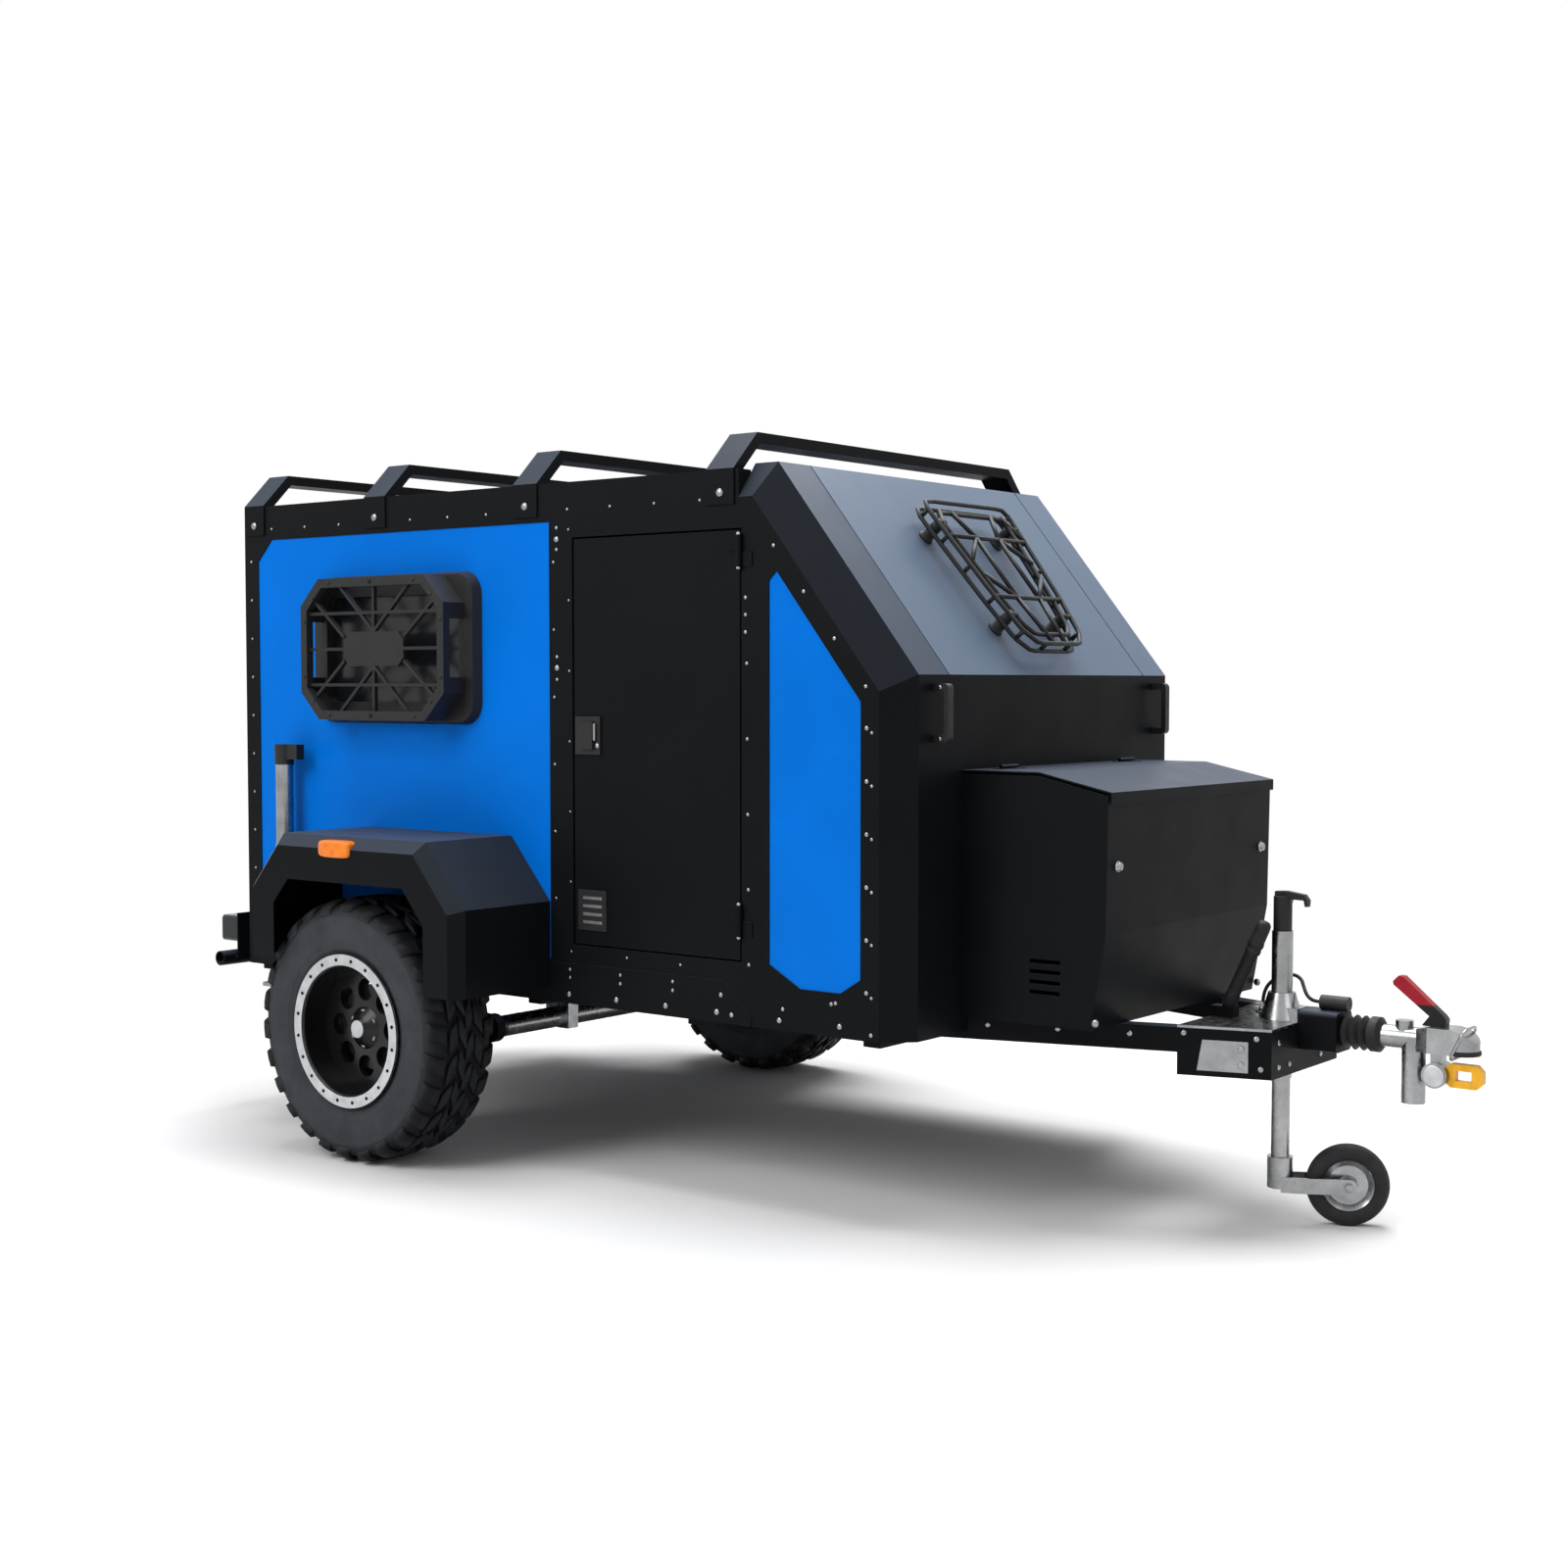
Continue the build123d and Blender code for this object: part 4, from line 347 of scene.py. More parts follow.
# Where a finish changes: behind the door, past the slope's near seam, and below the coupling lever's grip
DOOR_SPAN = (0.500 + AXLE_X, 1.190 + AXLE_X)
SLOPE_SEAM = 0.490
LEVER_GRIP_Z = 0.572
BLACK = (0.0045, 0.0051, 0.0062)
finishes = {
    # Upward faces of the black coat are painted a lighter grey-blue: a painted sheen
    "black_coat": coated("satin_black_coat", BLACK, (0.38, 0.48), specular=0.05, upward_colour=(0.050, 0.062, 0.085)),
    "panel_blue": banded(coated("blue_panel_paint", (0.0, 0.142, 0.60), (0.34, 0.42), cloud=(0.95, 1.06),
                                specular=0.04), "X", *DOOR_SPAN, BLACK),
    # Slope panel: its grey-blue is partly the coat's own colour and partly a painted sheen, lighter past the
    # near seam
    "slope_grey": banded(coated("slope_panel_coat", (0.038, 0.054, 0.086), (0.36, 0.46), specular=0.2),
                         "Y", -SLOPE_SEAM, BODY_SIDE, (0.093, 0.130, 0.192)),
    # Upward faces of the black plastic are painted lighter: a painted sheen
    "black_plastic": coated("moulded_black_plastic", (0.011, 0.0112, 0.012), (0.45, 0.58), 0.1,
                            grain=(0.0022, 0.2, 0.0006), specular=0.25, upward_colour=(0.03, 0.033, 0.038)),
    "tyre": shaded_round_axle(coated("tyre_rubber", (0.030, 0.033, 0.039), (0.55, 0.7), 0.06, (0.85, 1.2),
                                     (0.0035, 0.25, 0.0008), specular=0.16)),
    "jockey_rubber": coated("jockey_tyre_rubber", (0.016, 0.0165, 0.018), (0.55, 0.7), 0.04, (0.8, 1.3),
                            (0.003, 0.25, 0.0008), specular=0.22),
    "rim_black": coated("rim_gloss_black", (0.006, 0.0063, 0.007), (0.2, 0.3), specular=0.25),
    "ring_silver": coated("machined_ring", (0.50, 0.51, 0.52), (0.3, 0.44), 0.03, (0.85, 1.12),
                          (0.0012, 0.15, 0.0004), metal=1.0),
    "zinc_steel": coated("zinc_plate", (0.29, 0.295, 0.30), (0.2, 0.34), 0.05, (0.85, 1.2),
                         (0.008, 0.03, 0.0003), metal=1.0),
    "amber_lens": lens("amber_lens", (0.95, 0.22, 0.008), 0.15),
    "red_lens": lens("red_lens", (0.30, 0.008, 0.01), 0.1, shell=(0.009, 0.014, 0.015)),
    "glass_dark": lens("smoked_glass", (0.012, 0.0135, 0.016), 0.4),
    "lever_red": banded(coated("red_grip", (0.30, 0.006, 0.016), (0.3, 0.45), 0.02, specular=0.2),
                        "Z", 0.4, LEVER_GRIP_Z, (0.008, 0.008, 0.009)),
    "hook_yellow": coated("yellow_catch", (0.80, 0.40, 0.015), (0.3, 0.45), 0.02, specular=0.3),
    "boot_rubber": coated("cable_and_boot_rubber", (0.010, 0.010, 0.011), (0.5, 0.65), 0.03, specular=0.25),
    "floor_ply": coated("floor_plywood", (0.01, 0.01, 0.01), (0.6, 0.75), 0.08, upward_colour=(0.36, 0.25, 0.15)),
}
for entry in frame["record"]["subparts"]:
    for material_slot in frame["nodes"][entry["node"]].material_slots:
        material_slot.material = finishes[entry["material_slot"]]


# Lighting lead, its points measured from the jockey tube's middle line at the top of the nose plate

JOCKEY_X = 2.302
NOSE_TOP = 0.506
LEAD_DIAMETER = 0.009
LEAD_ROUTE = [(-0.066, 0.034, 0.020), (-0.066, 0.034, 0.044), (-0.057, 0.044, 0.074), (-0.030, 0.060, 0.096),
              (0.002, 0.064, 0.100), (0.028, 0.050, 0.092), (0.042, 0.032, 0.076), (0.056, 0.016, 0.061),
              (0.071, 0.005, 0.052), (0.087, 0.0, 0.0483), (0.103, 0.0, 0.0483)]


def lighting_lead():
    """The lead as a quadratic NURBS line with the route's points as its control points."""
    points = np.array(LEAD_ROUTE) + placed(JOCKEY_X, 0, NOSE_TOP)
    curve = bpy.data.curves.new("lead_cable_line", "CURVE")
    curve.dimensions = "3D"
    curve.bevel_depth = LEAD_DIAMETER / 2
    curve.bevel_resolution = 4
    spline = curve.splines.new("NURBS")
    spline.points.add(len(points) - 1)
    spline.points.foreach_set("co", np.column_stack([points, np.ones(len(points))]).ravel())
    spline.order_u = 3
    spline.use_endpoint_u = True
    spline.resolution_u = 8
    lead = bpy.data.objects.new("lead_cable_line", curve)
    curve.materials.append(finishes["boot_rubber"])
    bpy.context.scene.collection.objects.link(lead)
    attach(lead, "trailer")
    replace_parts(lead, "lead_cable")


lighting_lead()


# Road wheels

TRACK = 0.879
LUG_DEPTH = 0.012
LUGS_ROUND = 26
# Raised rings on the sidewall: radius, width, height
SIDE_RINGS = [(0.3180, 0.0022, 0.0016), (0.2440, 0.0026, 0.0016), (0.2260, 0.0018, 0.0012)]
# Half section of the casing, from the middle of the tread to the bead: radius, distance from the middle
CASING = [(0.3545, 0.0), (0.3540, 0.040), (0.3515, 0.078), (0.3420, 0.103), (0.3230, 0.1135),
          (0.2900, 0.1165), (0.2550, 0.1150), (0.2300, 0.1085), (0.2140, 0.1000), (0.2060, 0.0975)]
CASING_STEPS = 400
CASING_POINTS = 90
# Tread rows: from and to along the half section, a block's width in lug pitches, its slant and the row's
# start in the row's own pitches, and lug pitches from block to block
TREAD_ROWS = [(0.02, 0.62, 0.66, 0.45, 0.0, 1), (0.80, 1.46, 0.66, -0.40, 0.3, 1),
              (1.72, 3.75, 0.60, 0.12, 0.1, 2), (1.72, 4.10, 0.60, 0.12, 0.6, 2)]
# A block from edge to edge: place in block widths, height in lug depths, with its edges sunk into the casing
BLOCK_SINK = -0.25
BLOCK_ACROSS = [(-0.5, BLOCK_SINK), (-0.44, 0.95), (0.0, 1.0), (0.44, 0.95), (0.5, BLOCK_SINK)]
BLOCK_BEVEL = 0.04
BLOCK_STEPS = 9
# How a shoulder block falls toward the sidewall: share of its length, share of its height
SHOULDER_FALL = [(0, 1), (0.75, 1), (1, 0.35)]


def casing_at(v):
    """Radius, side distance and outward normal of the casing at places v along its half section."""
    fine = smooth_line(CASING, CASING_STEPS)
    along = np.linspace(0, len(CASING) - 1, CASING_STEPS)
    radius, side = (np.interp(v, along, fine[:, k]) for k in (0, 1))
    slope_r, slope_y = (np.interp(v, along, np.gradient(fine[:, k])) for k in (0, 1))
    size = np.hypot(slope_r, slope_y)
    return radius, side, slope_y / size, -slope_r / size


def around(middle, angle, radius, side):
    """Points on circles about the wheel's axle."""
    x, y, z = middle
    return np.stack([x + radius * np.cos(angle), y + side + 0 * angle, z + radius * np.sin(angle)], axis=-1)


def tread_block(row, middle, flip):
    """One row of blocks: patches of the casing raised by the lug depth, with their edges dropped into it."""
    start, end, share, slant, offset, lugs = row
    count = LUGS_ROUND // lugs
    pitch, width = 2 * np.pi / count, share * 2 * np.pi / LUGS_ROUND
    spans, lift = np.transpose(BLOCK_ACROSS)
    steps = np.linspace(0, 1, BLOCK_STEPS)
    inner = BLOCK_BEVEL + (1 - 2 * BLOCK_BEVEL) * steps
    v = start + (end - start) * np.concatenate([[0], inner, [1]])
    radius, out, normal_r, normal_y = casing_at(v)
    crest = np.interp(steps, *np.transpose(SHOULDER_FALL)) if lugs > 1 else np.ones_like(steps)
    height = LUG_DEPTH * np.minimum(lift[:, None], np.concatenate([[BLOCK_SINK], crest, [BLOCK_SINK]]))
    angle = ((np.arange(count) + offset + 0.5 * (flip > 0)) * pitch)[:, None, None]
    angle = angle + (spans * width)[:, None] + slant * pitch * (v - start) / (end - start)
    points = around(middle, angle, radius + normal_r * height, flip * (out + normal_y * height))
    number = np.arange(len(spans) * len(v)).reshape(len(spans), len(v))
    edge = np.concatenate([number[0], number[1:-1, -1], number[-1, ::-1], number[-2:0:-1, 0]])[None, ::-1]
    faces = [array[:, ::flip] for array in (grid_faces(len(spans), len(v)), edge)]
    return points, [copies(array, number.size, count) for array in faces]


def tyre(name, side):
    """Casing: the half section, with raised rings like bell curves on its side, and its mirror image turned
    about the axle, under rows of tread blocks."""
    middle = placed(0, side * TRACK, TYRE_R)
    radius, out, *_ = casing_at(np.linspace(0, len(CASING) - 1, CASING_POINTS))
    for at, width, height in SIDE_RINGS:
        out = out + height * np.exp(-((radius - at) / width) ** 2)
    radius, out = np.concatenate([radius[::-1], radius[1:]]), np.concatenate([-out[::-1], out[1:]])
    turn = np.linspace(0, 2 * np.pi, 4 * LUGS_ROUND, endpoint=False)
    casing = around(middle, turn[:, None], radius, out)
    skin = grid_faces(len(turn), len(radius), wrap_rows=True, wrap_columns=True)
    rows = [tread_block(row, middle, flip) for row in TREAD_ROWS for flip in (-1, 1)]
    points, faces = join([(casing, [skin]), *rows])
    piece = put_mesh(f"{name}_tread", points, faces, "tyre", f"wheel_{name}")
    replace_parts(piece, f"tyre_{name}")


# Fasteners round a wheel: how many, distance from the axle, distance out from the wheel's middle, size
RING_BOLTS = (20, 0.1970, 0.1150, 0.0052)
WHEEL_NUTS = (6, 0.0465, 0.0398, 0.0085)
# Bright face of the hub cap: distance out, radius
CAP_FACE = [(0.0, 0.0250), (0.0012, 0.0250), (0.0022, 0.0235), (0.0010, 0.0200), (0.0016, 0.0120),
            (0.0018, 0.0020)]
CAP_OUT = 0.0680


def bolt_circle(circle, side, profile, sides):
    """Heads spaced evenly round a wheel's axle, on its outer side."""
    count, radius, out, size = circle
    angle = 2 * np.pi * (np.arange(count) + 0.5) / count
    places = placed(radius * np.cos(angle), side * (TRACK + out), TYRE_R + radius * np.sin(angle))
    return heads(places, np.tile([0, side, 0], (count, 1)), size, profile, sides)


def wheel_trim(name, side):
    """Dark bolts round the bead ring, the wheel nuts, and the bright face of the hub cap."""
    body = f"wheel_{name}"
    put_mesh(f"{name}_ring_bolts", *bolt_circle(RING_BOLTS, side, ROUND_HEAD, 10), "black_coat", body)
    nuts = bolt_circle(WHEEL_NUTS, side, NUT_HEAD, 6)
    put_mesh(f"{name}_wheel_nuts", *nuts, "zinc_steel", body, smooth=False)
    cap = turned(CAP_FACE, placed(0, side * (TRACK + CAP_OUT), TYRE_R), (0, side, 0), 48)
    put_mesh(f"{name}_cap_face", *cap, "ring_silver", body)


for name, side in SIDES.items():
    tyre(name, side)
    wheel_trim(name, side)


# Jockey wheel

JOCKEY_MIDDLE = (1.50106, 0.07884, 0.1)
JOCKEY_AXIS = (-0.48786, 0.87292, 0)
JOCKEY_ARM = 0.038
# Half section of its tyre from the tread's middle groove out: distance from the middle, radius
JOCKEY_SECTION = [(0.0, 0.0985), (0.0015, 0.0985), (0.0025, 0.1), (0.0070, 0.0998), (0.0080, 0.0980),
                  (0.0100, 0.0980), (0.0110, 0.0990), (0.0170, 0.0965), (0.0230, 0.0905), (0.0258, 0.0830),
                  (0.0256, 0.0760), (0.0232, 0.0690), (0.0200, 0.0645), (0.0185, 0.0625)]
JOCKEY_NUT = 0.011


def jockey_wheel():
    """The tyre's section and its mirror image turned about the axle, and the nuts on the fork's arms."""
    half = np.array(JOCKEY_SECTION)
    section = np.concatenate([half[:0:-1] * (-1, 1), half])
    tread = turned(section, JOCKEY_MIDDLE, JOCKEY_AXIS, 72, ring=True)
    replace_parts(put_mesh("jockey_tread", *tread, "jockey_rubber", "jockey_wheel"), "jockey_tyre")
    out = np.array([JOCKEY_AXIS, JOCKEY_AXIS]) * [[1], [-1]]
    places = np.array(JOCKEY_MIDDLE) + out * JOCKEY_ARM
    nuts = heads(places, out, JOCKEY_NUT, NUT_HEAD, 6)
    put_mesh("jockey_axle_nuts", *nuts, "zinc_steel", "jockey_fork", smooth=False)


jockey_wheel()


# Fasteners of the body

# Rivet rows on each side: from x, z to x, z, how many, head radius
SIDE_ROWS = [(-0.770, 1.692, -0.766, 0.756, 9, 0.0042), (0.510, 1.647, 0.514, 0.742, 6, 0.0042),
             (0.566, 1.732, 0.570, 0.601, 7, 0.0034), (1.178, 1.372, 1.184, 0.616, 5, 0.0048),
             (1.263, 1.662, 1.544, 1.315, 4, 0.0052), (1.547, 1.215, 1.547, 0.577, 6, 0.0060),
             (1.562, 1.204, 1.562, 0.566, 6, 0.0045), (0.771, 0.600, 0.957, 0.597, 2, 0.0040),
             (1.174, 1.536, 1.174, 1.450, 3, 0.0050), (-0.672, 1.788, 1.025, 1.785, 12, 0.0040),
             (0.522, 1.707, 0.522, 1.363, 2, 0.0085), (0.522, 1.738, 0.522, 1.393, 2, 0.0050),
             (0.522, 1.680, 0.522, 1.332, 2, 0.0050), (1.281, 0.485, 1.467, 0.488, 2, 0.0078),
             (1.292, 0.514, 1.455, 0.544, 2, 0.0055), (1.442, 0.541, 1.561, 0.476, 2, 0.0055)]
SILL_ROWS = [(0.562, 0.485, 1.080, 0.487, 4, 0.0085), (0.566, 0.553, 0.932, 0.552, 3, 0.0050),
             (0.566, 0.531, 0.932, 0.529, 3, 0.0050), (1.094, 0.532, 1.129, 0.484, 2, 0.0068)]
HOOP_ROWS = [(middle, 1.800, middle, 1.800, 1, 0.0115) for middle in (-0.748, -0.201, 0.408, 1.095)]
SILL_OUT = 0.002
HOOP_OUT = 0.005


def rows_of(rows, out):
    """Places and head sizes spaced evenly along each row, on both sides of the body, out from its face."""
    at = np.concatenate([np.linspace([x0, z0], [x1, z1], count) for x0, z0, x1, z1, count, _ in rows])
    sizes = np.concatenate([np.full(row[4], row[5]) for row in rows])
    side = np.repeat([1.0, -1.0], len(at))
    at, sizes = np.tile(at, (2, 1)), np.tile(sizes, 2)
    places = placed(at[:, 0], side * (BODY_SIDE + out), at[:, 1])
    return heads(places, np.stack([0 * side, side, 0 * side], axis=-1), sizes, ROUND_HEAD, 10)


put_mesh("side_rivets", *join([rows_of(SIDE_ROWS, 0.0), rows_of(SILL_ROWS, SILL_OUT)]), "zinc_steel")
put_mesh("hoop_bolts", *rows_of(HOOP_ROWS, HOOP_OUT), "zinc_steel")


# Drawbar and nose

# Outer face of the drawbar's rail, x and y, at its rear end and at the nose
RAIL_BACK = (1.590, 0.420)
NOSE_FRONT = (2.364, 0.189)
# Bolts on each rail: x, z
RAIL_BOLTS = [(1.700, 0.478), (1.870, 0.478), (2.040, 0.478), (2.165, 0.487), (2.330, 0.482), (2.340, 0.410)]
PLATE_X = (2.196, 2.312)
PLATE_Z = (0.400, 0.474)
PLATE_SLANT = 0.012
PLATE_T = 0.003
# Bolts of the plate: in from its front end, in from its foot and its top
PLATE_BOLT_IN = (0.016, 0.018)
PLATE_BOLT_R = 0.008
# Bolts on the nose's front: y, z
NOSE_BOLTS = [(-0.150, 0.470), (0.150, 0.470), (-0.150, 0.412), (0.150, 0.412), (-0.090, 0.412),
              (0.090, 0.412)]
DRAWBAR_BOLT_R = 0.0072


def rail_y(x):
    """The drawbar rail's outer face at places along it."""
    return np.interp(x, *np.transpose([RAIL_BACK, NOSE_FRONT]))


RAIL_OUT = unit([RAIL_BACK[1] - NOSE_FRONT[1], NOSE_FRONT[0] - RAIL_BACK[0], 0])


def drawbar_trim():
    """Bolts along both rails and the nose, and the bare zinc plate on the right rail."""
    x, z = np.array(RAIL_BOLTS).T
    patches = []
    for side in SIDES.values():
        out = np.tile(RAIL_OUT * (1, side, 1), (len(x), 1))
        patches.append(heads(placed(x, side * rail_y(x), z), out, DRAWBAR_BOLT_R, ROUND_HEAD))
    y, z = np.array(NOSE_BOLTS).T
    ahead = np.tile([1, 0, 0], (len(y), 1))
    patches.append(heads(placed(NOSE_FRONT[0], y, z), ahead, DRAWBAR_BOLT_R, ROUND_HEAD))
    put_mesh("drawbar_bolts", *join(patches), "zinc_steel")
    (x0, x1), (z0, z1) = PLATE_X, PLATE_Z
    corner_x = np.array([x0, x1, x1, x0 + PLATE_SLANT])
    flat = placed(corner_x, -rail_y(corner_x), [z0, z0, z1, z1])
    points = np.concatenate([flat, flat + RAIL_OUT * (1, -1, 1) * PLATE_T])
    around_edge = [[0, 3, 2, 1], [4, 5, 6, 7], [0, 1, 5, 4], [1, 2, 6, 5], [2, 3, 7, 6], [3, 0, 4, 7]]
    put_mesh("rail_plate", points, [np.array(around_edge)], "zinc_steel", smooth=False)
    bolt_x = np.full(2, x1 - PLATE_BOLT_IN[0])
    bolt_z = np.array([z0 + PLATE_BOLT_IN[1], z1 - PLATE_BOLT_IN[1]])
    out = np.tile(RAIL_OUT * (1, -1, 1), (2, 1))
    places = placed(bolt_x, -rail_y(bolt_x), bolt_z) + out * PLATE_T
    bolts = heads(places, out, PLATE_BOLT_R, NUT_HEAD, 6)
    put_mesh("rail_plate_bolts", *bolts, "zinc_steel", smooth=False)


drawbar_trim()


# Slope rack

RIDGE = placed(1.2255, 0, 1.8756)
SLOPE_FOOT = placed(1.651, 0, 1.3436)
SLOPE_RUN = unit(SLOPE_FOOT - RIDGE)
SLOPE_OUT = np.cross(SLOPE_RUN, (0, 1, 0))
RACK_TOP = 0.150
RACK_LIFT = 0.067
ROD_R = 0.0062
RACK_LOW = 0.036
INNER_DROP = 0.004
CORNER_CUT = 0.1
# Half width at places down the rack
RACK_HALF = [(0.0, 0.185), (0.030, 0.200), (0.320, 0.167), (0.440, 0.141), (0.480, 0.103)]
INNER_HALF = [(0.036, 0.152), (0.060, 0.163), (0.316, 0.133), (0.415, 0.110), (0.446, 0.082)]
# Rods of the left half: from and to, each as down the rack and distance from its middle
RACK_RODS = [(0.120, 0.056, 0.325, 0.056), (0.034, 0.096, 0.120, 0.056), (0.325, 0.056, 0.475, 0.030),
             (0.075, 0.195, 0.075, 0.160), (0.385, 0.153, 0.385, 0.118), (0.030, 0.150, 0.120, 0.190),
             (0.120, 0.056, 0.200, 0.148), (0.325, 0.056, 0.250, 0.142)]
RACK_BARS = [(0.120, 0.186), (0.325, 0.164)]
RACK_FEET = [(0.070, 0.1714), (0.380, 0.1350)]
# Profile of a foot: up from the slope, radius
FOOT = [(0.0, 0.022), (0.005, 0.022), (0.008, 0.0175), (0.040, 0.0165), (0.062, 0.0125), (0.067, 0.0105)]
# Posts between the two outer loops: down the rack, distance from its middle
RACK_POSTS = [(0.030, 0.196), (0.120, 0.187), (0.220, 0.175), (0.325, 0.163), (0.440, 0.139), (0.478, 0.060)]


def on_slope(down, y, lift):
    """Points of the frame from places down the rack, across it and up from the slope."""
    down, y, lift = np.broadcast_arrays(*[np.asarray(value, float)[..., None] for value in (down, y, lift)])
    return RIDGE + (RACK_TOP + down) * SLOPE_RUN + y * np.array([0, 1, 0]) + lift * SLOPE_OUT


def rounded_loop(half):
    """A half outline and its mirror image as one closed line, each corner cut off by a share of its sides."""
    half = np.array(half)
    outline = np.concatenate([half, half[::-1] * (1, -1)])
    after = np.roll(outline, -1, 0)
    keep = 1 - CORNER_CUT
    ends = [keep * outline + CORNER_CUT * after, CORNER_CUT * outline + keep * after]
    return np.stack(ends, axis=1).reshape(-1, 2)


def slope_rack():
    """Two round-rod loops joined by straight rods, on four turned feet."""
    patches = []
    for half, lift in ((RACK_HALF, RACK_LIFT), (RACK_HALF, RACK_LOW), (INNER_HALF, RACK_LIFT - INNER_DROP)):
        down, y = rounded_loop(half).T
        patches.append(tube(on_slope(down, y, lift), SLOPE_OUT, ROD_R, closed=True))
    for d0, y0, d1, y1 in RACK_RODS:
        for side in SIDES.values():
            line = on_slope([d0, d1], [side * y0, side * y1], RACK_LIFT)
            patches.append(tube(line, SLOPE_OUT, ROD_R))
    for down, y in RACK_POSTS:
        for side in SIDES.values():
            line = on_slope([down, down], [side * y, side * y], [RACK_LOW, RACK_LIFT])
            patches.append(tube(line, SLOPE_RUN, ROD_R))
    for down, half in RACK_BARS:
        patches.append(tube(on_slope([down, down], [-half, half], RACK_LIFT), SLOPE_OUT, ROD_R))
    for down, y in RACK_FEET:
        patches += [turned(FOOT, on_slope(down, side * y, 0.0), SLOPE_OUT, 20) for side in SIDES.values()]
    piece = put_mesh("slope_rack_rods", *join(patches), "black_plastic")
    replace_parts(piece, "slope_rack")


slope_rack()


# Window guards

GUARD_FACE = 0.795
WINDOW_MIDDLE = (-0.1085, 1.420)
GUARD_HALF = (0.2885, 0.190)
# Bolts on the guard's outer bar: shares of its half width and half height
GUARD_BOLTS = [(0.62, 1.0), (0.0, 1.0), (1.0, 0.42), (0.86, 0.78)]
GUARD_BOLT_R = 0.0065


def guard_bolts():
    """Bolts in the four quarters of each window guard."""
    across, up = np.array([(a * sa, b * sb) for a, b in GUARD_BOLTS for sa in (-1, 1) for sb in (-1, 1)]).T
    x, z = WINDOW_MIDDLE[0] + across * GUARD_HALF[0], WINDOW_MIDDLE[1] + up * GUARD_HALF[1]
    patches = []
    for side in SIDES.values():
        out = np.tile([0, side, 0], (len(x), 1))
        patches.append(heads(placed(x, side * GUARD_FACE, z), out, GUARD_BOLT_R, ROUND_HEAD))
    put_mesh("guard_bolts", *join(patches), "black_plastic")


guard_bolts()


# Doors

VENT_X = (0.616, 0.686)
VENT_Z = [0.6856, 0.7072, 0.7288, 0.7504]
# Width and depth of a vent slat and of the bright edge of the lock's paddle
VENT_SLAT = (0.0078, 0.0025)
LOCK_EDGE = (0.007, 0.007)
LOCK_EDGE_X = 0.6685
LOCK_EDGE_Z = [1.171, 1.216]
LOCK_PROUD = 0.006
# Key barrel: x, z, radius
KEY_BARREL = (0.673, 1.157, 0.0075)
HINGE_X, HINGE_Y = 1.1585, 0.697
HINGE_Z = [0.725, 1.652]
HINGE_LEN = 0.078
HINGE_PIN_R = 0.0066


def door_trim(name, side):
    """Pale slats behind the vent's slots, and the lock's key barrel and bright paddle edge."""
    body = f"door_{name}"
    out = np.tile([0, side, 0], (len(VENT_Z), 1))
    starts = placed(VENT_X[0], side * BODY_SIDE, VENT_Z)
    ends = placed(VENT_X[1], side * BODY_SIDE, VENT_Z)
    slats = slabs(starts, ends, out, *VENT_SLAT)
    put_mesh(f"vent_slats_{name}", *slats, "ring_silver", body, smooth=False)
    face = side * (BODY_SIDE + LOCK_PROUD)
    x, z, radius = KEY_BARREL
    barrel = heads([placed(x, face, z)], [[0, side, 0]], radius, ROUND_HEAD)
    low, high = placed(LOCK_EDGE_X, face, LOCK_EDGE_Z)
    edge = slabs([low], [high], [[0, side, 0]], *LOCK_EDGE)
    put_mesh(f"lock_parts_{name}", *join([barrel, edge]), "zinc_steel", body, smooth=False)


for name, side in SIDES.items():
    door_trim(name, side)


def hinge_pins():
    """The bright ends of the door hinges' pins, above and below their knuckles."""
    z, up, side = (grid.ravel() for grid in np.meshgrid(HINGE_Z, [-1.0, 1.0], list(SIDES.values())))
    places = placed(HINGE_X, side * HINGE_Y, z + up * HINGE_LEN / 2)
    put_mesh("hinge_pins", *heads(places, up[:, None] * [0, 0, 1], HINGE_PIN_R, PIN_END), "zinc_steel")


hinge_pins()


# Front

LATCH_Y = [-0.385, 0.385]
LATCH_X = 2.0595
LATCH_Z = 0.890
LATCH_R = 0.0105
BOX_CORNER = (2.030, 0.436, 0.520)
BOX_BOLT_R = 0.010
HANDLE_Y = 0.550
HANDLE_HALF = 0.011
# Screws of the grab handles: ahead of the body's front, heights, radius
SCREW_AHEAD = 0.020
SCREW_Z = [1.189, 1.313]
SCREW_R = 0.0050


def front_trim():
    """Latch knobs and corner bolts of the front box, and the grab handles' screws."""
    knobs = heads(placed(LATCH_X, LATCH_Y, LATCH_Z), np.tile([1, 0, 0], (2, 1)), LATCH_R, NUT_HEAD, 16)
    x, y, z = BOX_CORNER
    corners = heads(placed(x, [-y, y], z), [[0, -1, 0], [0, 1, 0]], BOX_BOLT_R, ROUND_HEAD)
    side, z = (grid.ravel() for grid in np.meshgrid([-1.0, 1.0], SCREW_Z))
    places = placed(BODY_FRONT + SCREW_AHEAD, side * (HANDLE_Y + HANDLE_HALF), z)
    screws = heads(places, side[:, None] * [0, 1, 0], SCREW_R, ROUND_HEAD)
    put_mesh("front_knobs_and_screws", *join([knobs, corners, screws]), "zinc_steel")


front_trim()


# Coupling

BALL_X = 2.742
COUPLING_Z = 0.490
HEAD_HALF = 0.040
HEAD_TIP_LEN = 0.048
# Section of the rubber lip round the head's foot: out from the head's side, above the coupling's middle
LIP = [(-0.004, -0.0262), (0.0025, -0.0262), (0.0035, -0.0225), (0.0030, -0.0165), (0.0010, -0.0150),
       (-0.004, -0.0150)]
LIP_STEPS = 25
# Strap round the head: x and z of its middle, half width and half height, lean of its top, rod radius
STRAP_AT = (2.752, 0.490)
STRAP_HALF = (0.0435, 0.0375)
STRAP_LEAN = 0.018
STRAP_R = 0.0038
